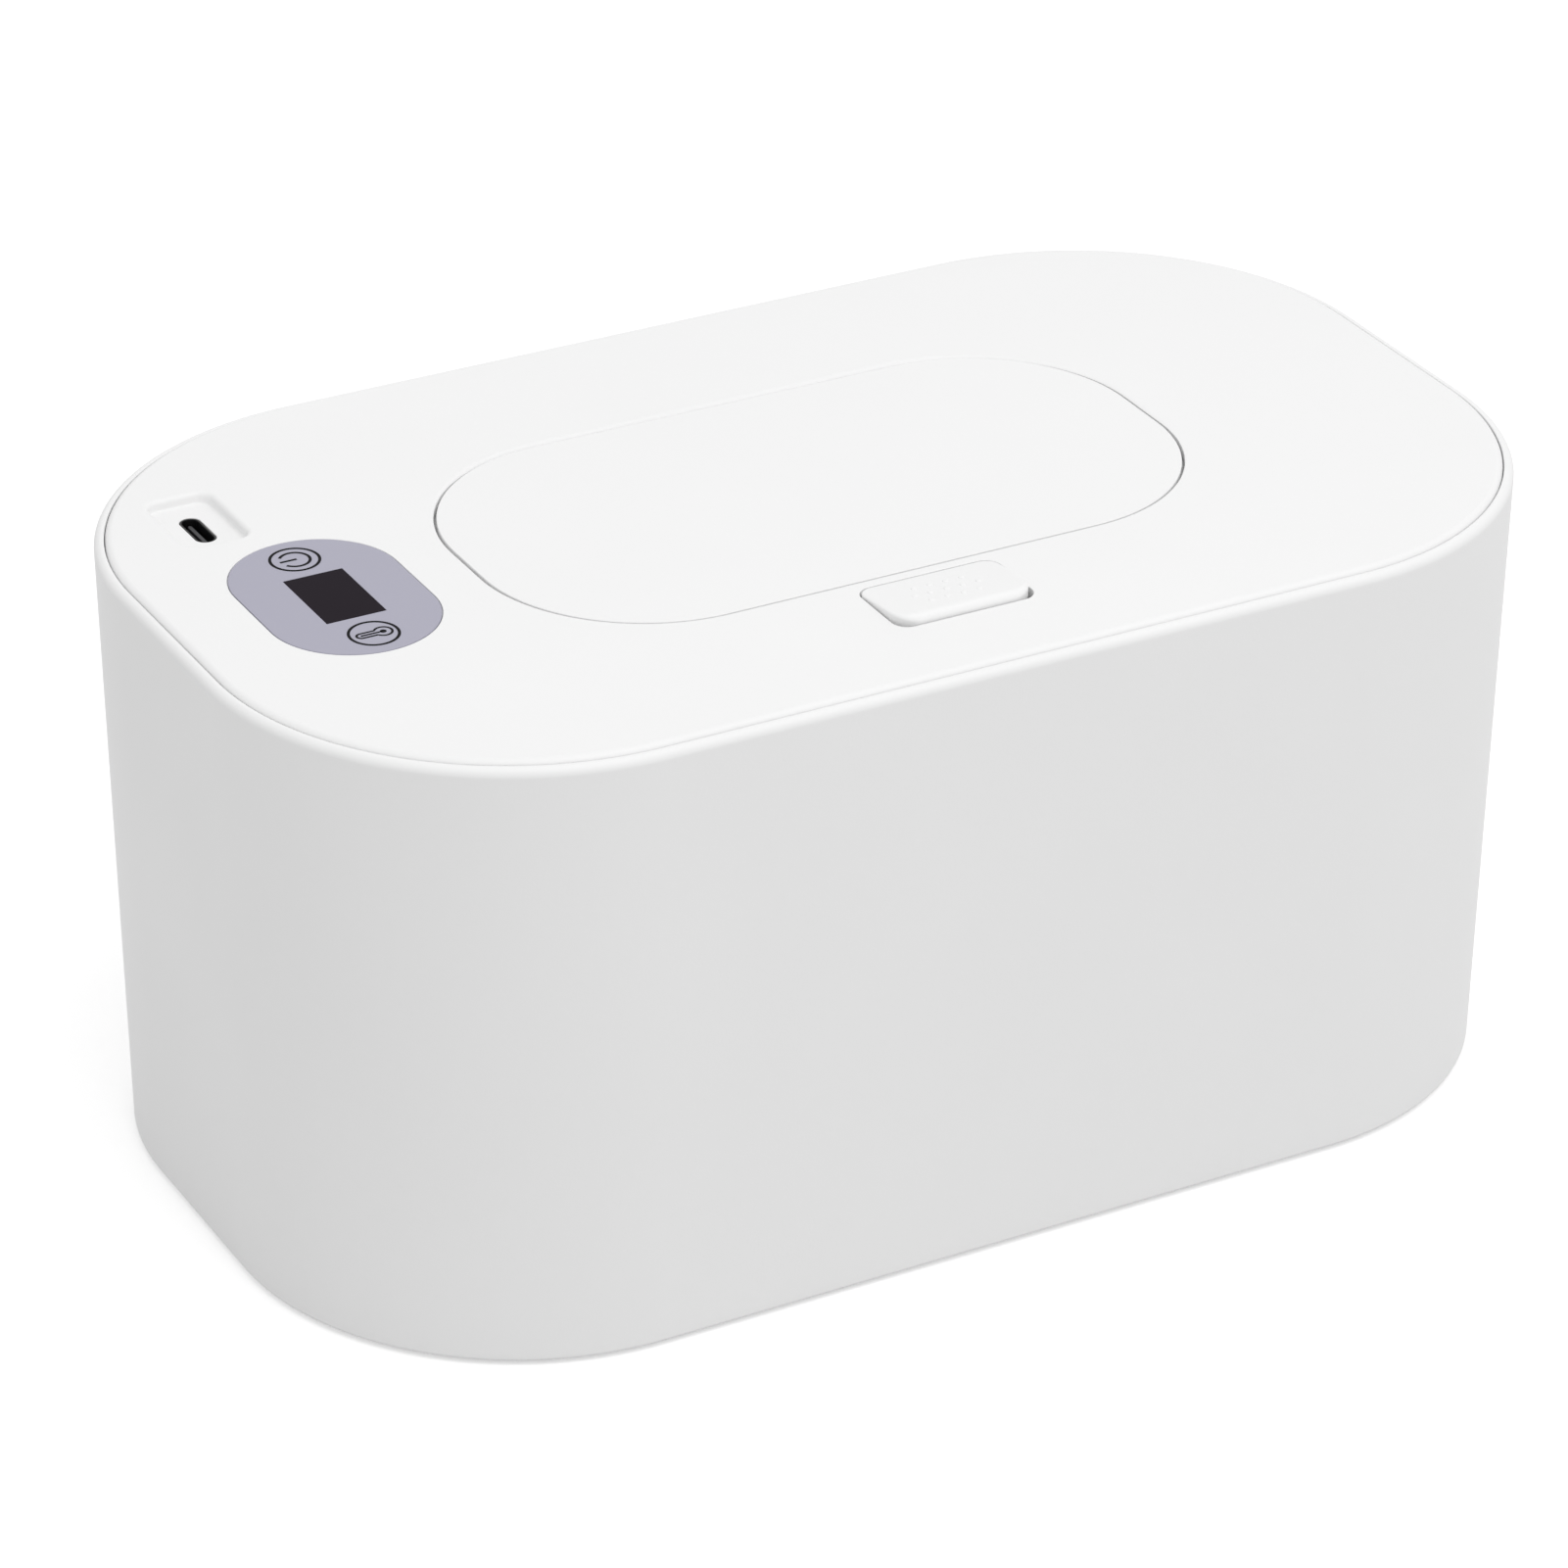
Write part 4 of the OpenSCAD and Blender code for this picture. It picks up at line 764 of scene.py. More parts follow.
class WARMER_OT_lid(bpy.types.Operator):
    """Model the lid's top and skirt, the flap's well with its ears, and all of the lid's pockets"""
    bl_idname = "warmer.lid"
    bl_label = "Lid"

    def execute(self, context):
        lid = context.scene.warmer_lid
        piece = make("lid_moulding", swept(body_corner(), self.profile(lid)))
        self.add_supports(context.scene, piece, lid)
        self.cut_well(piece, lid)
        self.cut_pockets(context.scene, piece, lid)
        self.add_mouth_and_ears(piece, lid)
        dress(piece, shell_white(), "lid", "shell_white", "lid_cover")
        return {"FINISHED"}

    def profile(self, lid):
        """The section of the top and skirt, from the middle of the underside to the middle of the top."""
        edge = lid_radius()
        inside = edge - lid.skirt
        low = Z_RIM - bpy.context.scene.warmer_tub.ledge_drop
        ease = 0.3 * MM
        fillet = 1 * MM
        slope_up = Z_TOP - Z_RIM - lid.edge_round * (1 - cos(lid.edge_slope))
        slope_in = slope_up / tan(lid.edge_slope)
        middle = (edge - slope_in - lid.edge_round * sin(lid.edge_slope), Z_TOP - lid.edge_round)
        return (
            bend(inside, Z_TOP - lid.top, fillet, 90, 0)
            + bend(inside, low, ease, 180, 270, 4)
            + bend(edge, low, ease, 270, 360, 4)
            + [(edge, Z_RIM)]
            + arc(middle, lid.edge_round, 90 - degrees(lid.edge_slope), 90, SMALL_STEPS))

    def add_supports(self, scene, piece, lid):
        """Adds the well's outside, the button's guide, the port's pad and the posts under the lid."""
        button = scene.warmer_button
        port = scene.warmer_port
        corner, radius = opening()
        root = Z_TOP - lid.top + 0.5 * MM
        well = Z_TOP - lid.well_depth - lid.well_floor
        join(piece, plate((corner[0], corner[1] + lid.bay / 2), radius + lid.well_wall, well, root,
                          centre=(0.0, lid.bay / 2)))
        guide_r = button.pocket_radius + button.guide_wall
        join(piece, plate(pocket_corner(button), guide_r, Z_TOP - button.guide_depth, root, steps=16,
                          centre=(0.0, BUTTON_Y)))
        rim = 1.5 * MM
        half_x, half_y = port.pocket_width / 2 + rim, port.pocket_length / 2 + rim
        join(piece, block((PORT_X - half_x, PORT_Y - half_y, PORT_HIGH.z),
                          (PORT_X + half_x, PORT_Y + half_y, root)))
        floor = inner_floor()
        add_posts(piece, screw_places(), lid.boss_radius, (floor, root), lid.screw_radius,
                  (floor - OVER, floor + lid.screw_length + 2 * MM))
        spare = 0.5 * MM
        low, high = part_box("guide_screws")
        reach = high.x - lid.small_head
        foot = low.z + 2.9 * MM
        add_posts(piece, [(-reach, BUTTON_Y), (reach, BUTTON_Y)], lid.post_radius, (foot, root),
                  lid.small_screw_radius, (foot - OVER, high.z + spare))
        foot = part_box("control_board")[1].z
        add_posts(piece, corners_of("control_board", 2.9 * MM, 2.5 * MM), lid.post_radius, (foot, root),
                  lid.small_screw_radius, (foot - OVER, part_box("board_screws")[1].z + spare))

    def cut_well(self, piece, lid):
        """Cuts the well, the opening over it with its eased edge, the mouth and room above the hinge."""
        corner, radius = opening()
        under = Z_TOP - lid.top
        floor = Z_TOP - lid.well_depth
        inner = radius - HAIR
        fillet = 0.8 * MM
        well = bend(inner, floor, fillet, 270, 360) + [(inner, under)]
        cut(piece, swept((corner[0], corner[1] + lid.bay / 2), well, centre=(0.0, lid.bay / 2)))
        cut(piece, plate(corner, radius, under - 0.1 * MM, Z_TOP + OVER))
        # The cutter is moved towards the hinge, so the edge is rounded less at the button's side
        round_r = lid.hinge_side_round
        aside = (round_r - lid.button_side_round) / 2
        eased = bend(radius, Z_TOP, round_r, 180, 90, SMALL_STEPS + 2) + [(radius + round_r, Z_TOP + OVER)]
        cut(piece, swept((corner[0] - aside, corner[1] - aside), eased, centre=(0.0, aside)))
        self.add_ledges(piece, lid, corner, radius)
        mouth_corner, mouth_r = mouth()
        cut(piece, plate(mouth_corner, mouth_r - lid.sill, floor - lid.well_floor - OVER, floor + OVER))
        reach = lid.ear_outer_x + lid.ear_width / 2 + 0.5 * MM
        knuckle = (PIN_HIGH.y - PIN_LOW.y) / 2 + 1.3 * MM
        cut(piece, block((-reach, PIN_Y - knuckle, under - OVER),
                         (reach, PIN_Y + knuckle, Z_TOP - lid.hinge_roof)))

    def add_ledges(self, piece, lid, corner, radius):
        """Adds a narrow ledge round each end of the opening, just under the flap's edge."""
        inner = radius - lid.ledge_width
        top = Z_TOP - lid.ledge_depth
        low = top - 1.2 * MM
        flare = 0.6 * MM
        profile = ([(radius + flare, low), (radius + flare, top)] + bend(inner, top, 0.3 * MM, 90, 180, 4)
                   + [(inner + flare, low)])
        ledges = make("ledges", swept(corner, profile, closed=True))
        half_width = FLAP_WIDTH / 2 + 2 * MM
        cut(ledges, block((-corner[0], -half_width, low - OVER), (corner[0], half_width, Z_TOP)))
        merge(piece, "UNION", ledges)

    def cut_pockets(self, scene, piece, lid):
        """Cuts the button's pocket, the panel's recess and the port's pocket, each with eased edges."""
        button = scene.warmer_button
        panel = scene.warmer_panel
        port = scene.warmer_port
        under = Z_TOP - lid.top - OVER
        low = Z_TOP - button.guide_depth - OVER
        cut(piece, eased_pocket(pocket_corner(button), button.pocket_radius, low, button.pocket_edge,
                                (0.0, BUTTON_Y)))
        play = 0.3 * MM
        low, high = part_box("latch_slider")
        front = -FLAP_WIDTH / 2
        cut(piece, block((low.x - 0.5 * MM, front - 3 * MM, low.z - play),
                         (high.x + 0.5 * MM, front + play, high.z + play)))
        film_r = (FILM_HIGH.x - FILM_LOW.x) / 2
        film_corner = (0.0, (FILM_HIGH.y - FILM_LOW.y) / 2 - film_r)
        cut(piece, eased_pocket(film_corner, film_r + panel.film_gap, FILM_LOW.z, panel.recess_edge,
                                (PANEL_X, 0.0)))
        around = Vector((0.5 * MM, play, 0.0))
        low, high = WINDOW_LOW - around, WINDOW_HIGH + around
        key_r = 2.05 * MM
        keys = [rod(PANEL_X, side * KEY_Y, key_r, under, Z_TOP, 12) for side in (-1, 1)]
        cut(piece, block((low.x, low.y, under), (high.x, high.y, Z_TOP)), *keys)
        corner = (port.pocket_width / 2 - port.pocket_radius, port.pocket_length / 2 - port.pocket_radius)
        floor = Z_TOP - port.pocket_depth
        cut(piece, eased_pocket(corner, port.pocket_radius, floor, port.pocket_edge, (PORT_X, PORT_Y),
                                fillet=0.35 * MM))
        slot_r = port.slot_width / 2
        ease = 0.15 * MM
        slot = ([(slot_r, PORT_HIGH.z - OVER)] + bend(slot_r, floor, ease, 180, 90, 4)
                + [(slot_r + ease, Z_TOP)])
        cut(piece, swept((0.0, port.slot_length / 2 - slot_r), slot, steps=16, centre=(PORT_X, PORT_Y)))

    def add_mouth_and_ears(self, piece, lid):
        """Adds the mouth's raised rim and the ears that hold the hinge pin."""
        corner, inner = mouth()
        outer = inner + lid.mouth_wall
        top = Z_TOP - lid.mouth_top
        root = Z_TOP - lid.well_depth - 0.5 * MM
        ease = 0.5 * MM
        profile = ([(inner, root), (outer, root)] + bend(outer, top, ease, 0, 90, 5)
                   + bend(inner, top, ease, 90, 180, 5))
        join(piece, swept(corner, profile, closed=True))
        half = lid.ear_width / 2
        places = (-lid.ear_outer_x, -lid.ear_inner_x, lid.ear_inner_x, lid.ear_outer_x)
        ear_r = 2.2 * MM
        roof = Z_TOP - lid.hinge_roof + 0.2 * MM
        ear = arc((PIN_Y, PIN_Z), ear_r, 180, 360, 16) + [(PIN_Y + ear_r, roof), (PIN_Y - ear_r, roof)]
        join(piece, *[side_prism(ear, x - half, x + half) for x in places])
        bore = PIN_R + 0.02 * MM
        cut(piece, *[cross_rod(PIN_Y, PIN_Z, bore, x - 2 * half, x + 2 * half) for x in places])


def inner_floor():
    """Height of the upper face of the inner cover's floor."""
    return Z_TOP - bpy.context.scene.warmer_inner_cover.depth


def pocket_corner(button):
    """Corner centres of the button's pocket."""
    return button.pocket_length / 2 - button.pocket_radius, button.pocket_width / 2 - button.pocket_radius


def eased_pocket(corner, radius, low, ease, centre, fillet=0.0):
    """A cutter for a pocket that is open at the lid's top, with a rounded upper edge and floor."""
    base = bend(radius, low, fillet, 270, 360, 5) if fillet else [(radius, low)]
    profile = base + bend(radius, Z_TOP, ease, 180, 90) + [(radius + ease, Z_TOP + OVER)]
    return swept(corner, profile, steps=20, centre=centre)


class WARMER_OT_mouth(bpy.types.Operator):
    """Model the slotted membrane and the frame that keeps it in the mouth"""
    bl_idname = "warmer.mouth"
    bl_label = "Mouth"

    def execute(self, context):
        lid = context.scene.warmer_lid
        corner, radius = mouth()
        outer = radius - lid.mouth_gap
        low, high = MOUTH_LOW.z, MOUTH_HIGH.z
        membrane = make("slotted_membrane", plate(corner, outer, low, high, 0.2 * MM))
        slot_r = lid.slot_width / 2
        lip = 0.35 * MM
        profile = ([(slot_r + lip, low - OVER)] + bend(slot_r, low, lip, 270, 180, 5)
                   + bend(slot_r, high, lip, 180, 90, 5) + [(slot_r + lip, high + OVER)])
        cut(membrane, swept((lid.slot_length / 2 - slot_r, 0.0), profile, steps=24))
        dress(membrane, silicone_white(), "lid", "silicone_white", "mouth_membrane")
        low, high = FRAME_LOW.z, FRAME_HIGH.z
        retainer = make("membrane_retainer", plate(corner, outer, low, high, 0.3 * MM))
        hole = radius - lid.sill
        ease = 0.6 * MM
        profile = [(hole, low - OVER)] + bend(hole, high, ease, 180, 90) + [(hole + ease, high + OVER)]
        cut(retainer, swept(corner, profile))
        dress(retainer, shell_white(), "lid", "shell_white", "mouth_frame")
        return {"FINISHED"}


class WARMER_OT_inner_cover(bpy.types.Operator):
    """Model the tray that closes the lid from below, its seal and the heater plate"""
    bl_idname = "warmer.inner_cover"
    bl_label = "Inner Cover, Seal and Heater"

    def execute(self, context):
        lid = context.scene.warmer_lid
        cover = context.scene.warmer_inner_cover
        outer = lid_radius() - lid.skirt - cover.gap
        chimney_corner, mouth_r = mouth()
        chimney = (chimney_corner, mouth_r - lid.sill + 1 * MM)
        plate_corner = (PLATE_HIGH.x - cover.heater_radius, PLATE_HIGH.y - cover.heater_radius)
        self.tray(lid, cover, outer, chimney, plate_corner)
        self.seal(cover, outer)
        self.heater(context.scene, chimney, plate_corner)
        return {"FINISHED"}

    def tray(self, lid, cover, outer, chimney, plate_corner):
        """The tray with its grooved wall, the rib round the heater, the mouth's chimney and its holes."""
        inner = outer - cover.wall
        floor = inner_floor()
        low = floor - cover.floor
        groove_low = floor + 1 * MM
        groove_high = groove_low + cover.seal_height
        groove_r = outer - cover.seal_depth
        fillet = 1 * MM
        ease = 0.3 * MM
        profile = (
            bend(inner, floor, fillet, 270, 360)
            + bend(inner, COVER_TOP, ease, 180, 90, 4)
            + bend(outer, COVER_TOP, ease, 90, 0, 4)
            + [(outer, groove_high), (groove_r, groove_high), (groove_r, groove_low), (outer, groove_low)]
            + bend(outer, low, 0.5 * MM, 0, -90))
        piece = make("inner_tray", swept(body_corner(), profile))
        rib = cover.heater_radius + 0.15 * MM
        rib_end = rib + cover.rib_width
        root = low + 0.5 * MM
        join(piece, swept(plate_corner, [(rib, root), (rib_end, root)]
                          + bend(rib_end, PLATE_LOW.z, ease, 0, -90, 4) + [(rib, PLATE_LOW.z)], closed=True))
        corner, radius = chimney
        top = Z_TOP - lid.well_depth - lid.well_floor
        join(piece, plate(corner, radius + 1.6 * MM, PLATE_LOW.z, top))
        cut(piece, plate(corner, radius, PLATE_LOW.z - OVER, top + OVER))
        leads_low, leads_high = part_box("heater_leads")
        holes = [(leads_high.x - 0.7 * MM, leads_low.y + 0.25 * MM, cover.lead_radius)]
        holes += [(x, y, lid.screw_radius + 0.3 * MM) for x, y in screw_places()]
        cut(piece, *[rod(x, y, hole_r, low - OVER, floor + OVER, 12) for x, y, hole_r in holes])
        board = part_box("power_board")[0].z
        add_posts(piece, corners_of("power_board", 2.8 * MM, 2.8 * MM)[:3], lid.post_radius,
                  (floor - 0.5 * MM, board), lid.small_screw_radius, (floor - 0.3 * MM, board + OVER))
        dress(piece, shell_white(), "lid", "shell_white", "lid_inner_cover")

    def seal(self, cover, outer):
        """The seal with a rounded lip that leans on the tub's inner wall."""
        root = outer - cover.seal_depth
        low = inner_floor() + 1 * MM
        high = low + cover.seal_height
        lip_r = 0.3 * MM
        lip = tub_inner_radius(low) - 0.3 * MM - lip_r
        profile = ([(root, low), (outer, low)] + arc((lip, low + 0.9 * MM), lip_r, -90, 60)
                   + [(outer, high), (root, high)])
        piece = make("tray_seal", swept(body_corner(), profile, closed=True))
        dress(piece, silicone_white(), "lid", "silicone_white", "lid_seal")

    def heater(self, scene, chimney, plate_corner):
        """The flat heater plate round the mouth's chimney."""
        low, high = PLATE_LOW.z, PLATE_HIGH.z
        radius = scene.warmer_inner_cover.heater_radius
        piece = make("heating_plate", plate(plate_corner, radius, low, high, 0.15 * MM))
        cut(piece, plate(chimney[0], chimney[1] + 1.75 * MM, low - OVER, high + OVER))
        rolled = drawn("rolled aluminium", scene.warmer_finish.aluminium, 0.28, (60.0, 9000.0, 9000.0))
        dress(piece, rolled, "lid", "heater_aluminium", "heater_plate")


class WARMER_OT_screws(bpy.types.Operator):
    """Model the eight screws of the inner cover, with rounded heads and crossed recesses"""
    bl_idname = "warmer.screws"
    bl_label = "Inner Cover Screws"

    def execute(self, context):
        lid = context.scene.warmer_lid
        radius = lid.screw_radius
        head = lid.screw_head_radius
        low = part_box("inner_cover_screws")[0].z
        face = inner_floor() - context.scene.warmer_inner_cover.floor - HAIR
        tip = inner_floor() + lid.screw_length
        ease = 1.1 * MM
        places = screw_places()
        profile = (
            [(0.3 * MM, tip), (radius, tip - 1.6 * MM), (radius, face), (head, face)]
            + bend(head, low, ease, 0, -90, 8))
        screws = [swept((0.0, 0.0), profile, steps=8, centre=place) for place in places]
        piece = make("cover_screws", *screws)
        length, width = 1.55 * MM, 0.36 * MM
        for half_x, half_y in ((length, width), (width, length)):
            cut(piece, *[self.recess(x, y, half_x, half_y, low) for x, y in places])
        steel = drawn("turned screw steel", context.scene.warmer_finish.steel, 0.3, SCREW_LINES)
        dress(piece, steel, "lid", "screw_steel", "inner_cover_screws", angle=40)
        return {"FINISHED"}

    def recess(self, x, y, half_x, half_y, low):
        """A tapering cutter for one bar of the cross in a head that looks down."""
        rings = []
        for height, taper in ((low - OVER, 1.0), (low, 1.0), (low + 1.1 * MM, 0.5)):
            rings.append([(x + side_x * half_x * taper, y + side_y * half_y * taper, height)
                          for side_x, side_y in ((-1, -1), (1, -1), (1, 1), (-1, 1))])
        return rings, False


class WARMER_OT_flap(bpy.types.Operator):
    """Model the flap's skin with its hinge arms, the liner with its hook, and the gasket"""
    bl_idname = "warmer.flap"
    bl_label = "Flap"

    def execute(self, context):
        lid = context.scene.warmer_lid
        flap = context.scene.warmer_flap
        corner, outer = opening()
        edge = outer - flap.gap
        self.cover(flap, corner, edge)
        self.liner(lid, flap, corner, edge)
        self.gasket(lid, flap)
        return {"FINISHED"}

    def cover(self, flap, corner, edge):
        """The skin with the wall under it, the two curved arms and the spring's lug."""
        ring_outer = edge - flap.liner_inset
        ring_inner = ring_outer - flap.ring_wall
        under = Z_TOP - flap.skin
        low = Z_TOP - flap.liner_depth
        fillet = 0.4 * MM
        ease = 0.2 * MM
        profile = (
            [(ring_inner, under), (ring_inner, low), (ring_outer, low)]
            + bend(ring_outer, under, fillet, 180, 90, 4)
            + bend(edge, under, ease, 270, 360, 4)
            + bend(edge, Z_TOP, flap.edge_round, 0, 90))
        piece = make("flap_moulding", swept(corner, profile))
        spans = [(side * flap.arm_x - flap.arm_width / 2, side * flap.arm_x + flap.arm_width / 2)
                 for side in (-1, 1)]
        # Each arm is a curve round the pin with a web that carries its bored knuckle
        pin = Vector((PIN_Y, PIN_Z))
        web_half = 1.1 * MM
        arm_inner = flap.arm_inner_radius
        arm_outer = arm_inner + flap.arm
        start = 180 - degrees(asin((Z_TOP - PIN_Z - flap.skin + 0.03 * MM) / arm_inner))
        finish = WEB_ANGLE + degrees(asin(web_half / arm_outer))
        hook = arc(pin, arm_outer, start, finish, 32) + arc(pin, arm_inner, finish, start, 32)
        along = Vector((cos(radians(WEB_ANGLE)), sin(radians(WEB_ANGLE))))
        web = self.bar(pin, pin + along * (arm_outer - 0.3 * MM), web_half)
        join(piece, *[side_prism(hook, *span) for span in spans])
        join(piece, *[side_prism(web, *span) for span in spans])
        knuckle = PIN_R + 0.7 * MM
        join(piece, *[cross_rod(PIN_Y, PIN_Z, knuckle, *span) for span in spans])
        cut(piece, *[cross_rod(PIN_Y, PIN_Z, PIN_R + 0.05 * MM, left - OVER, right + OVER)
                     for left, right in spans])
        lug_place = pin + along * flap.lug_reach
        lug = self.bar(lug_place - along * LUG_HALF, lug_place + along * LUG_HALF, LUG_HALF)
        join(piece, side_prism(lug, spans[0][1] - 0.1 * MM, spans[0][1] + 1.2 * MM))
        dress(piece, shell_white(), "flap", "shell_white", "flap_cover")

    def bar(self, start, end, half):
        """Corners of a straight bar between two places, with half of its width."""
        along = (end - start).normalized()
        across = Vector((-along.y, along.x)) * half
        return [tuple(point) for point in (start - across, end - across, end + across, start + across)]

    def liner(self, lid, flap, corner, edge):
        """The plate inside the flap, with its locating wall, the gasket's groove and the latch's hook."""
        outer = edge - flap.liner_inset
        wall = outer - flap.ring_wall - 0.15 * MM
        wall_inner = wall - 1.2 * MM
        under = Z_TOP - flap.skin
        top = Z_TOP - flap.liner_depth
        low = top - flap.liner
        ease = 0.5 * MM
        profile = (
            [(wall_inner, top), (wall_inner, under), (wall, under), (wall, top), (outer, top)]
            + bend(outer, low, ease, 0, -90))
        piece = make("flap_liner_moulding", swept(corner, profile))
        mouth_corner, mouth_r = mouth()
        middle = mouth_r + lid.mouth_wall / 2
        groove = flap.gasket_width / 2 + 0.05 * MM
        roof = low + 0.5 * MM
        cut(piece, swept(mouth_corner, [(middle - groove, low - OVER), (middle + groove, low - OVER),
                                        (middle + groove, roof), (middle - groove, roof)], closed=True))
        half = flap.catch_width / 2
        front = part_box("flap_liner")[0]
        shelf = front.z + 1.5 * MM
        stem = front.y + 1.05 * MM
        back = stem + 1.6 * MM
        root = 5.2 * MM - FLAP_WIDTH / 2
        hook = [(stem, top - 0.1 * MM), (stem, shelf), (front.y, shelf), (front.y, shelf - 0.6 * MM),
                (stem, front.z), (back, front.z), (back, low), (root, low), (root, top - 0.1 * MM)]
        join(piece, side_prism(hook, -half, half))
        dress(piece, shell_white(), "flap", "shell_white", "flap_liner")

    def gasket(self, lid, flap):
        """The gasket with a foot in its groove and a tapered lip."""
        corner, inner = mouth()
        middle = inner + lid.mouth_wall / 2
        foot = flap.gasket_width / 2
        low = Z_TOP - flap.liner_depth - flap.liner
        roof = low + 0.5 * MM
        lip = 0.6 * MM
        tip = low - flap.gasket_drop
        profile = ([(middle - foot, roof), (middle - foot, low)]
                   + arc((middle, tip + lip), lip, 180, 360, 8)
                   + [(middle + foot, low), (middle + foot, roof)])
        piece = make("mouth_gasket", swept(corner, profile, closed=True))
        dress(piece, silicone_white(), "flap", "silicone_white", "flap_gasket")


class WARMER_OT_hinge(bpy.types.Operator):
    """Model the hinge pin and the torsion spring wound round it"""
    bl_idname = "warmer.hinge"
    bl_label = "Hinge Pin and Spring"

    def execute(self, context):
        scene = context.scene
        ease = 0.25 * MM
        stations = [(PIN_LOW.x, PIN_R - ease), (PIN_LOW.x + ease, PIN_R), (PIN_HIGH.x - ease, PIN_R),
                    (PIN_HIGH.x, PIN_R - ease)]
        rings = [[(x, y, z) for y, z in arc((PIN_Y, PIN_Z), r, 0, 360, 32)[:-1]] for x, r in stations]
        steel = drawn("drawn pin steel", scene.warmer_finish.steel, 0.25, (150.0, 8000.0, 8000.0))
        dress(make("pin_of_the_hinge", (rings, False)), steel, "lid", "pin_steel", "hinge_pin")
        wire = 0.3 * MM
        path = self.path(scene.warmer_lid, scene.warmer_flap, wire)
        dress(make("spring_of_the_hinge", tube(path, wire, (1, 0, 0))), spring_wire(), "lid", "spring_steel",
              "hinge_spring")
        return {"FINISHED"}

    def path(self, lid, flap, wire):
        """The wire's middle: a leg on the arm's lug, four turns and more, and a leg under the lid."""
        r = PIN_R + 0.2 * MM + wire
        gap = 0.05 * MM
        leg = WEB_ANGLE - 270 + degrees(asin((r - LUG_HALF - wire - gap) / flap.lug_reach))
        turns = 4 + (90 - leg) / 360
        length = 4 * MM
        leg_length = 5 * MM
        steps = 96
        down = Vector((sin(radians(leg)), -cos(radians(leg))))
        foot = Vector((r * cos(radians(leg)), r * sin(radians(leg))))
        points = [(0.0, *(foot + down * leg_length)), (0.0, *(foot + down * 1.2 * MM))]
        for step in range(steps + 1):
            angle = radians(leg + 360 * turns * step / steps)
            points.append((length * step / steps, r * cos(angle), r * sin(angle)))
        under_lid = Z_TOP - lid.top - wire - gap - PIN_Z
        points += [(length, -1 * MM, r - 0.15 * MM), (length, -3.1 * MM, under_lid)]
        start = -(flap.arm_x - flap.arm_width / 2) + 0.7 * MM
        return [(start + x, PIN_Y + y, PIN_Z + z) for x, y, z in points]


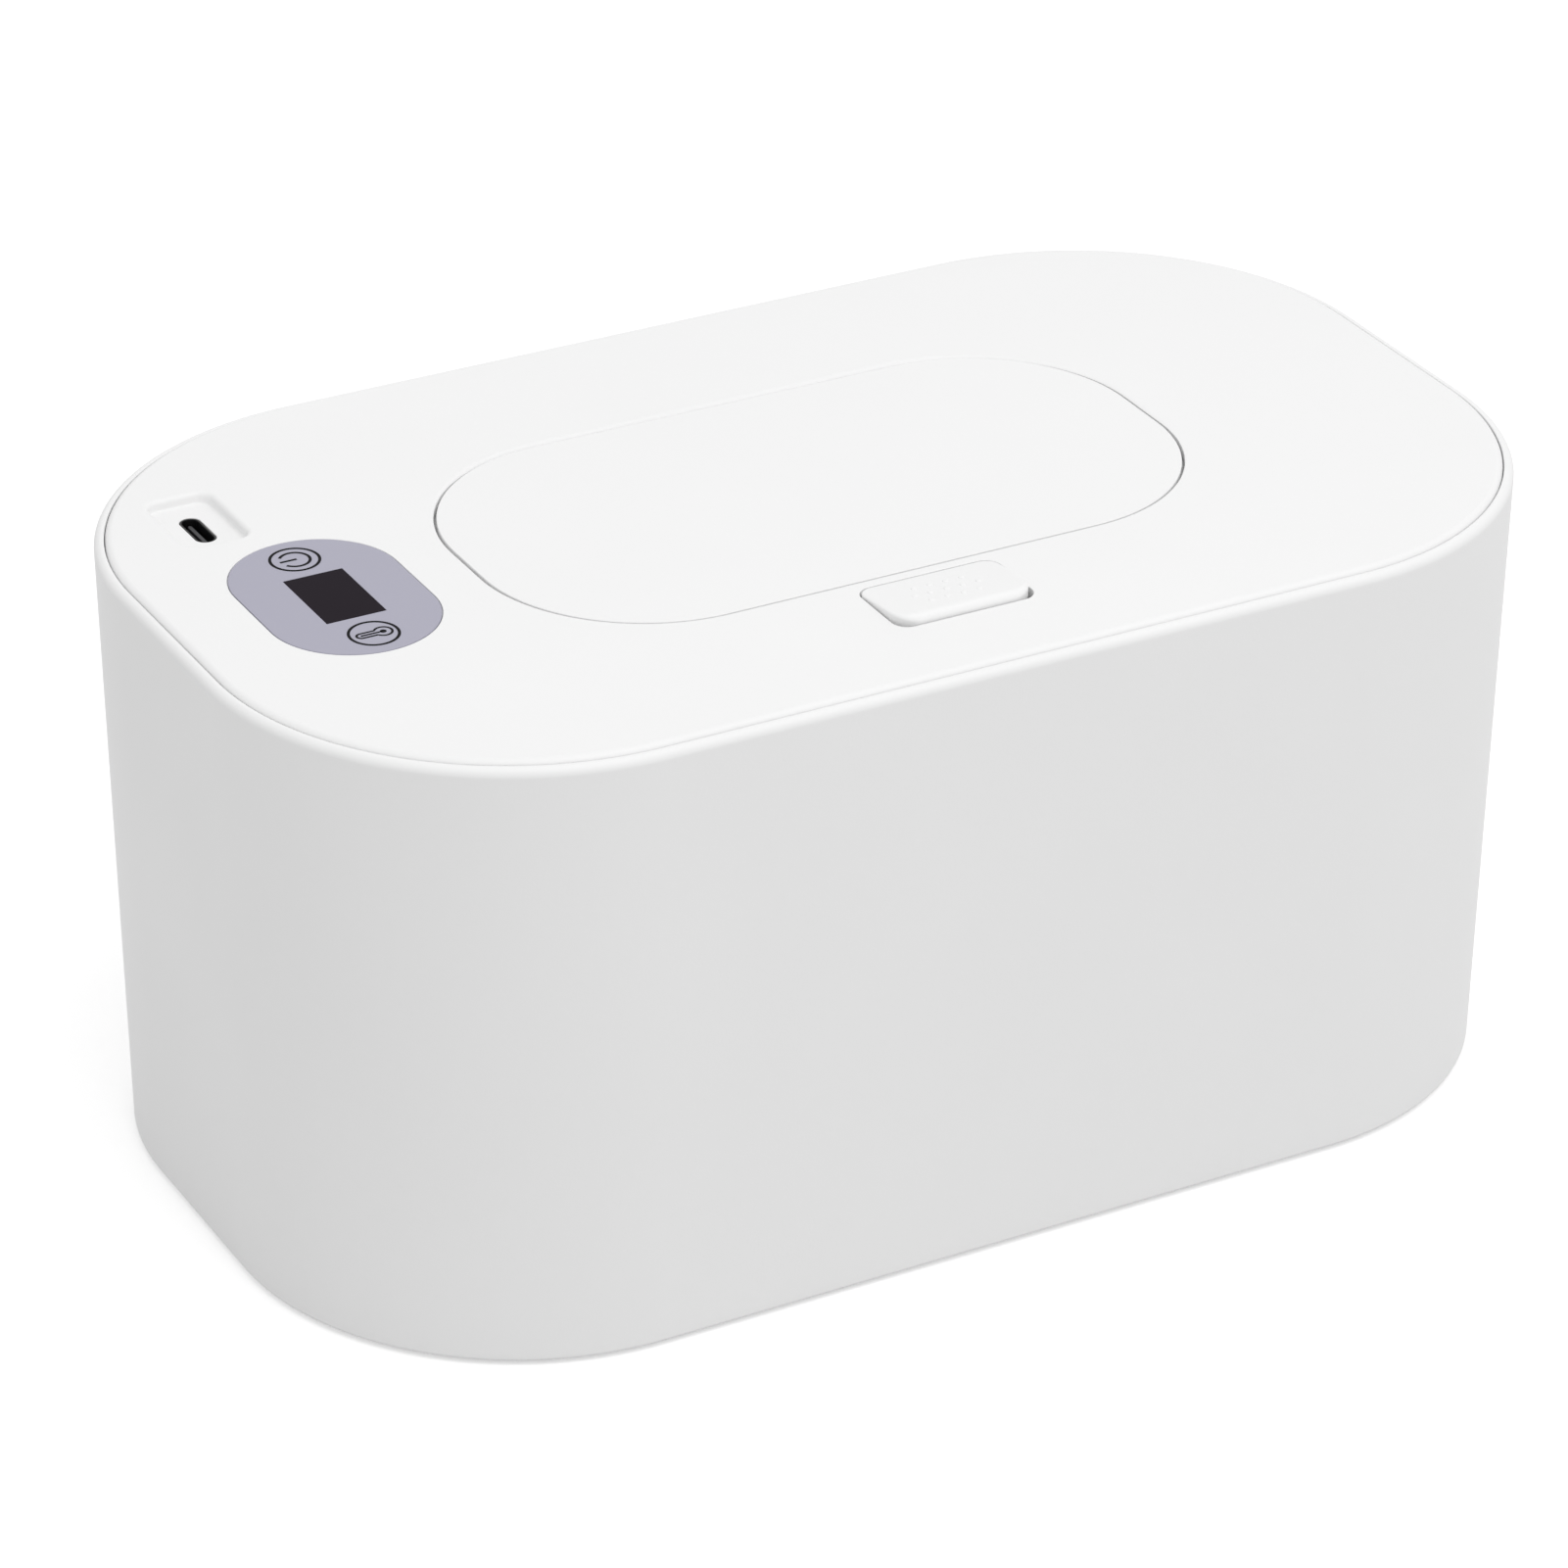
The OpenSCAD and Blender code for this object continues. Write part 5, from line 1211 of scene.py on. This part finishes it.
class WARMER_OT_button(bpy.types.Operator):
    """Model the release button with its sloping top, soft front edge, grip dots and working parts below"""
    bl_idname = "warmer.button"
    bl_label = "Release Button"

    def execute(self, context):
        button = context.scene.warmer_button
        half = Vector((button.pocket_length / 2 - button.gap, button.pocket_width / 2 - button.gap))
        low = Z_TOP - button.skirt_depth
        piece = make("release_button_cap", self.outside(button, half, low))
        corner = (half.x - button.corner_radius, half.y - button.corner_radius)
        under = Z_TOP - 1.8 * MM
        cut(piece, plate(corner, button.corner_radius - BUTTON_WALL, low - OVER, under, steps=16,
                         centre=(0.0, BUTTON_Y)))
        join(piece, *self.dots(button, half))
        self.add_wedge_and_tabs(piece, button, half.x, low)
        dress(piece, shell_white(), "button", "shell_white", "release_button")
        return {"FINISHED"}

    def top_at(self, button, half, y):
        """Height of the sloping top at a place along Y."""
        return Z_TOP + (BUTTON_Y + half.y - y) * button.rise / (2 * half.y)

    def outside(self, button, half, low):
        """The button's outside, whose upper edge is rounded more at the front than at the other sides."""
        outline = self.outline(button, half)
        rings = [[(spot.x, spot.y, low) for spot, outward in outline]]
        turns = 8
        for turn in range(turns + 1):
            angle = radians(90 * turn / turns)
            row = []
            for spot, outward in outline:
                other = button.front_round if outward.y < 0 else button.rear_round
                edge = button.side_round + (other - button.side_round) * outward.y ** 2
                place = spot - outward * edge * (1 - cos(angle))
                row.append((place.x, place.y, self.top_at(button, half, place.y) - edge * (1 - sin(angle))))
            rings.append(row)
        return rings, False

    def outline(self, button, half):
        """Places round the button with the direction that the wall faces there."""
        steps = 16
        spots = []
        for quadrant, (side_x, side_y) in enumerate(QUADRANTS):
            radius = button.rear_corner_radius if side_y > 0 else button.corner_radius
            middle = Vector((side_x * (half.x - radius), BUTTON_Y + side_y * (half.y - radius)))
            for step in range(steps + 1):
                angle = radians(90 * (quadrant + step / steps))
                outward = Vector((cos(angle), sin(angle)))
                spots.append((middle + radius * outward, outward))
        return spots

    def dots(self, button, half):
        """Three staggered rows of low domed dots."""
        shells = []
        radius = button.dot_diameter / 2
        for row in range(3):
            count = 5 if row == 1 else 4
            y = BUTTON_Y + (row - 1) * button.dot_pitch
            top = self.top_at(button, half, y)
            dome = [(radius * cos(radians(angle)), top + button.dot_height * sin(radians(angle)))
                    for angle in (25, 50, 75)]
            for index in range(count):
                x = (index - (count - 1) / 2) * button.dot_pitch
                shells.append(swept((0.0, 0.0), [(radius, top - 0.3 * MM), (radius, top)] + dome, steps=5,
                                    centre=(x, y)))
        return shells

    def add_wedge_and_tabs(self, piece, button, wall, low):
        """Adds the wedge that drives the latch, and the tabs that keep the button in its guide."""
        rear = BUTTON_Y + 2.7 * MM
        front = rear - 3.6 * MM
        root = Z_TOP - 1.6 * MM
        tip = Z_TOP - 8.8 * MM
        join(piece, side_prism([(rear, root), (front, root), (front, tip + rear - front), (rear, tip)],
                               -2 * MM, 2 * MM))
        tab_top = Z_TOP - button.guide_depth - 0.3 * MM
        tab_low = tab_top - 1 * MM
        half = 1.8 * MM
        for side in (-1, 1):
            inner, outer = sorted((side * (wall - BUTTON_WALL), side * (wall - HAIR)))
            join(piece, block((inner, BUTTON_Y - half, tab_low), (outer, BUTTON_Y + half, low + 0.5 * MM)))
            inner, outer = sorted((side * (wall - 1.2 * MM), side * BUTTON_REACH))
            join(piece, block((inner, BUTTON_Y - half + HAIR, tab_low + HAIR),
                              (outer, BUTTON_Y + half - HAIR, tab_top)))


class WARMER_OT_button_springs(bpy.types.Operator):
    """Model the two springs under the button, at their length while the button is up"""
    bl_idname = "warmer.button_springs"
    bl_label = "Button Springs"

    def execute(self, context):
        across = (SPRINGS_HIGH.y - SPRINGS_LOW.y) / 2
        height = SPRINGS_HIGH.z - SPRINGS_LOW.z
        shells = [self.coil(side * (SPRINGS_HIGH.x - across), across, height) for side in (-1, 1)]
        piece = make("springs_of_the_button", *shells)
        dress(piece, spring_wire(), "lid", "spring_steel", "button_springs")
        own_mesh(piece)
        return {"FINISHED"}

    def coil(self, x, across, height):
        """A coil whose first and last turns lie close, and whose other turns share the rest."""
        wire = 0.25 * MM
        turns = 6
        close = 2.2 * wire
        climb = height - 2 * wire
        path = []
        steps = turns * 20
        for step in range(steps + 1):
            turn = turns * step / steps
            if turn < 1:
                rise = close * turn
            elif turn < turns - 1:
                rise = close + (climb - 2 * close) * (turn - 1) / (turns - 2)
            else:
                rise = climb - close * (turns - turn)
            angle = radians(360 * turn)
            path.append((x + (across - wire) * cos(angle), BUTTON_Y + (across - wire) * sin(angle),
                         SPRINGS_LOW.z + wire + rise))
        return tube(path, wire, (0, 0, 1), 8)


class WARMER_OT_panel(bpy.types.Operator):
    """Model the printed film, the display's window and the two printed symbols"""
    bl_idname = "warmer.panel"
    bl_label = "Control Panel"

    def execute(self, context):
        panel = context.scene.warmer_panel
        finish = context.scene.warmer_finish
        radius = (FILM_HIGH.x - FILM_LOW.x) / 2
        corner = (0.0, (FILM_HIGH.y - FILM_LOW.y) / 2 - radius)
        profile = [(radius, FILM_LOW.z)] + bend(radius, FILM_HIGH.z, panel.film_edge, 0, 90, 4)
        film = make("printed_film", swept(corner, profile, centre=(PANEL_X, 0.0)))
        around = Vector((panel.window_gap, panel.window_gap, OVER))
        cut(film, block(WINDOW_LOW - around, WINDOW_HIGH + around))
        satin = moulded("satin film", finish.film, 0.45, 0.25 * MM, 0.002 * MM, 0.015)
        dress(film, satin, "lid", "panel_film", "panel_film")
        self.window(finish)
        self.symbols(panel, finish)
        return {"FINISHED"}

    def window(self, finish):
        """The dark window, a smooth plate with softened edges."""
        half = (WINDOW_HIGH - WINDOW_LOW) / 2
        middle = (WINDOW_HIGH + WINDOW_LOW) / 2
        radius = 0.3 * MM
        piece = make("dark_window", plate((half.x - radius, half.y - radius), radius, WINDOW_LOW.z,
                                          WINDOW_HIGH.z, 0.08 * MM, 6, (middle.x, middle.y)))
        smoked = moulded("smoked window", finish.window, 0.3, 1 * MM, 0.0003 * MM, 0.05, 12 * MM,
                         **{"Specular IOR Level": 0.02})
        dress(piece, smoked, "lid", "display_window", "display_window")

    def symbols(self, panel, finish):
        """A power symbol and a thermometer, each in a ring, as thin printed lines."""
        low, high = Z_TOP - 0.02 * MM, Z_TOP + panel.ink_height
        line = panel.line
        ink = moulded("printed ink", finish.ink, 0.6, 0.3 * MM, 0.001 * MM, 0.05,
                      **{"Specular IOR Level": 0.1})

        def circle(centre, radius):
            return ribbon(arc(centre, radius, 0, 360, 72)[:-1], line, low, high, True)

        x, y = PANEL_X - 0.2 * MM, KEY_Y
        piece = make("power_symbol", circle((x, y), panel.ring_radius),
                     ribbon(arc((x, y), panel.arc_radius, -145, 145, 48), line, low, high),
                     ribbon([(x - 2.4 * MM, y), (x + 0.3 * MM, y)], line, low, high))
        dress(piece, ink, "lid", "chip_black")
        x, y = PANEL_X, -KEY_Y
        bulb = (x + 1.5 * MM, y)
        neck = degrees(asin(panel.stem_radius / panel.bulb_radius))
        outline = (arc(bulb, panel.bulb_radius, -180 + neck, 180 - neck, 32)
                   + arc((x - 2 * MM, y), panel.stem_radius, 90, 270, 12))
        mercury = [(bulb[0] - 0.1 * MM, y), (x - 2.1 * MM, y)]
        piece = make("temperature_symbol", circle((x, y), panel.ring_radius),
                     ribbon(outline, line * 0.8, low, high, True), ribbon(mercury, line * 0.8, low, high),
                     rod(*bulb, 0.5 * MM, low, high))
        dress(piece, ink, "lid", "chip_black")


class WARMER_OT_port(bpy.types.Operator):
    """Model the charging port's shell with its rounded mouth, and the tongue inside"""
    bl_idname = "warmer.port"
    bl_label = "Charging Port"

    def execute(self, context):
        port = context.scene.warmer_port
        finish = context.scene.warmer_finish
        outer = (PORT_HIGH.x - PORT_LOW.x) / 2
        inner = outer - port.shell
        corner = (0.0, (PORT_HIGH.y - PORT_LOW.y) / 2 - outer)
        centre = (PORT_X, PORT_Y)
        ease = 0.12 * MM
        top = PORT_HIGH.z + port.lip
        profile = ([(inner, PORT_LOW.z), (outer, PORT_LOW.z)] + bend(outer, top, ease, 0, 90, 4)
                   + bend(inner, top, ease, 90, 180, 4))
        shell = make("port_sleeve", swept(corner, profile, closed=True, steps=16, centre=centre))
        black = moulded("black plated sleeve", finish.port, 0.4, 0.5 * MM, 0.001 * MM)
        dress(shell, black, "lid", "port_shell", "usb_shell")
        base = PORT_HIGH.z - 6.2 * MM
        core = make("port_tongue", plate(corner, inner - HAIR, CORE_LOW.z, base, 0.0, 16, centre))
        half = port.tongue / 2
        join(core, plate((0.0, port.tongue_length / 2 - half), half, base - 0.2 * MM, CORE_HIGH.z + port.lip,
                         ease, 6, centre))
        dark = moulded("dark tongue", finish.tongue, 0.5, 0.5 * MM, 0.001 * MM)
        dress(core, dark, "lid", "port_core", "usb_core")
        return {"FINISHED"}


class WARMER_OT_inner_finishes(bpy.types.Operator):
    """Give the pieces that the frame models in full their own finishes"""
    bl_idname = "warmer.inner_finishes"
    bl_label = "Inner Finishes"

    def execute(self, context):
        finish = context.scene.warmer_finish
        black = moulded("black moulding", (0.09, 0.09, 0.1), 0.45)
        acetal = moulded("acetal", (0.88, 0.88, 0.88), 0.4)
        stem = moulded("ivory stem", (0.82, 0.82, 0.8), 0.45)
        screw = drawn("plated screw steel", finish.steel, 0.3, SCREW_LINES)
        mask = solder_mask(finish.board)
        finishes = {
            "board_screws": screw, "guide_screws": screw, "latch_spring": spring_wire(),
            "latch_slider": acetal, "latch_guide": acetal,
            "power_switch_stem": stem, "temperature_switch_stem": stem,
            "power_switch_case": black, "temperature_switch_case": black, "power_chips": black,
            "control_chips": black, "board_header": black, "thermistor": black,
            "display_module": moulded("display housing", (0.13, 0.13, 0.14), 0.5),
            "power_board": mask, "control_board": mask,
            "lead_connector": moulded("natural nylon", (0.86, 0.85, 0.78), 0.5),
            "thermal_cutoff": moulded("glazed ceramic", (0.84, 0.82, 0.75), 0.25, 2 * MM),
            "heater_leads": moulded("red lead", (0.7, 0.1, 0.09), 0.5),
            "sensor_leads": moulded("black lead", (0.08, 0.08, 0.085), 0.5),
            "heating_film": patterned("amber heating film", ((0.78, 0.5, 0.18), (0.5, 0.33, 0.2)), 0.25,
                                      90.0, 3.0, 0.02 * MM, 0.5),
            "insulation_pad": moulded("pale felt", (0.88, 0.87, 0.84), 0.9, 0.5 * MM, 0.15 * MM, 0.12,
                                      6 * MM),
        }
        for node, material in finishes.items():
            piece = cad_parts[node]
            piece.data.materials.clear()
            piece.data.materials.append(material)
        return {"FINISHED"}


class WARMER_OT_studio(bpy.types.Operator):
    """Set up the camera, the pale floor, the even light and the lamp"""
    bl_idname = "warmer.studio"
    bl_label = "Studio"

    def execute(self, context):
        studio = context.scene.warmer_studio
        self.camera(context.scene, studio)
        self.floor(studio)
        self.sky(context.scene, studio)
        self.lamp(studio)
        context.scene.view_settings.view_transform = "Standard"
        return {"FINISHED"}

    def camera(self, scene, studio):
        """The camera, turned round a point above the middle and then shifted in its own plane."""
        around, rise = studio.azimuth, studio.elevation
        back = Vector((sin(around) * cos(rise), -cos(around) * cos(rise), sin(rise)))
        level = Vector((cos(around), sin(around), 0.0))
        upward = back.cross(level)
        right = cos(studio.roll) * level + sin(studio.roll) * upward
        up = cos(studio.roll) * upward - sin(studio.roll) * level
        aim = Vector((0.0, 0.0, studio.aim_height))
        place = aim + back * studio.distance + right * studio.aside + up * studio.above
        camera = place_object("studio_camera", bpy.data.cameras.new("studio_camera"))
        camera.matrix_world = Matrix((
            (right.x, up.x, back.x, place.x), (right.y, up.y, back.y, place.y),
            (right.z, up.z, back.z, place.z), (0.0, 0.0, 0.0, 1.0)))
        camera.data.sensor_width = 36.0
        camera.data.lens = studio.lens
        camera.data.clip_end = 100.0
        scene.camera = camera

    def floor(self, studio):
        """The pale floor, lifted to white where it is seen, and clear from below."""
        half = studio.floor_size / 2
        mesh = bpy.data.meshes.new("studio_floor")
        corners = [(side_x * half, side_y * half, 0) for side_x, side_y in QUADRANTS]
        mesh.from_pydata(corners, [], [(2, 3, 0, 1)])
        material, tree, shader = new_material("pale floor")
        tree.nodes.remove(shader)
        diffuse = tree.nodes.new("ShaderNodeBsdfDiffuse")
        diffuse.inputs["Color"].default_value = linear(studio.floor_colour)
        lift = tree.nodes.new("ShaderNodeEmission")
        strength = math_node(tree, "MULTIPLY", seen_directly(tree), studio.floor_lift)
        both = tree.nodes.new("ShaderNodeAddShader")
        under = tree.nodes.new("ShaderNodeMixShader")
        clear = tree.nodes.new("ShaderNodeBsdfTransparent")
        geometry = tree.nodes.new("ShaderNodeNewGeometry")
        output = tree.nodes["Material Output"]
        for source, socket in (
                (strength, lift.inputs["Strength"]), (diffuse.outputs[0], both.inputs[0]),
                (lift.outputs[0], both.inputs[1]), (geometry.outputs["Backfacing"], under.inputs["Fac"]),
                (both.outputs[0], under.inputs[1]), (clear.outputs[0], under.inputs[2]),
                (under.outputs[0], output.inputs["Surface"])):
            tree.links.new(source, socket)
        mesh.materials.append(material)
        place_object("studio_floor", mesh)

    def sky(self, scene, studio):
        """Even light from all round, white where it is seen."""
        world = bpy.data.worlds.new("studio_sky")
        world.use_nodes = True
        tree = world.node_tree
        background = tree.nodes["Background"]
        background.inputs["Color"].default_value = (1.0, 1.0, 1.0, 1.0)
        extra = math_node(tree, "MULTIPLY", seen_directly(tree), 1.0 - studio.sky)
        tree.links.new(math_node(tree, "ADD", extra, studio.sky), background.inputs["Strength"])
        scene.world = world

    def lamp(self, studio):
        """A large soft lamp above the front."""
        data = bpy.data.lights.new("soft_lamp", "AREA")
        data.shape = "DISK"
        data.size = 1400 * MM
        data.energy = studio.lamp_power
        lamp = place_object("soft_lamp", data)
        lamp.location = Vector((200, -700, 1550)) * MM
        lamp.rotation_euler = (-lamp.location).to_track_quat("-Z", "Y").to_euler()


def seen_directly(tree):
    """One where the camera, a mirror or glass looks at a surface, and nothing where light bounces off it."""
    path = tree.nodes.new("ShaderNodeLightPath")
    either = math_node(tree, "MAXIMUM", path.outputs["Is Camera Ray"], path.outputs["Is Glossy Ray"])
    return math_node(tree, "MAXIMUM", either, path.outputs["Is Transmission Ray"])


GROUPS = {
    "warmer_tub": WarmerTub, "warmer_lid": WarmerLid, "warmer_inner_cover": WarmerInnerCover,
    "warmer_flap": WarmerFlap, "warmer_button": WarmerButton, "warmer_panel": WarmerPanel,
    "warmer_port": WarmerPort, "warmer_finish": WarmerFinish, "warmer_studio": WarmerStudio,
}
OPERATORS = (
    WARMER_OT_studio, WARMER_OT_tub, WARMER_OT_foot_pads, WARMER_OT_lid, WARMER_OT_mouth,
    WARMER_OT_inner_cover, WARMER_OT_screws, WARMER_OT_flap, WARMER_OT_hinge, WARMER_OT_button,
    WARMER_OT_button_springs, WARMER_OT_panel, WARMER_OT_port, WARMER_OT_inner_finishes,
)


class WARMER_PT_sidebar(bpy.types.Panel):
    """Lists the warmer's pieces and their sizes"""
    bl_idname = "WARMER_PT_sidebar"
    bl_label = "Wipe Warmer"
    bl_space_type = "VIEW_3D"
    bl_region_type = "UI"
    bl_category = "Warmer"

    def draw(self, context):
        for operator in OPERATORS:
            self.layout.operator(operator.bl_idname)
        for name in GROUPS:
            box = self.layout.box()
            box.label(text=name.replace("warmer_", "").replace("_", " ").capitalize())
            for label in GROUPS[name].__annotations__:
                box.prop(getattr(context.scene, name), label)


def register():
    for name, group in GROUPS.items():
        bpy.utils.register_class(group)
        setattr(bpy.types.Scene, name, bpy.props.PointerProperty(type=group))
    for operator in OPERATORS:
        bpy.utils.register_class(operator)
    bpy.utils.register_class(WARMER_PT_sidebar)


def unregister():
    bpy.utils.unregister_class(WARMER_PT_sidebar)
    for operator in reversed(OPERATORS):
        bpy.utils.unregister_class(operator)
    for name, group in GROUPS.items():
        delattr(bpy.types.Scene, name)
        bpy.utils.unregister_class(group)


def main():
    register()
    for operator in OPERATORS:
        getattr(bpy.ops.warmer, operator.bl_idname.split(".")[1])()


if __name__ == "__main__":
    main()
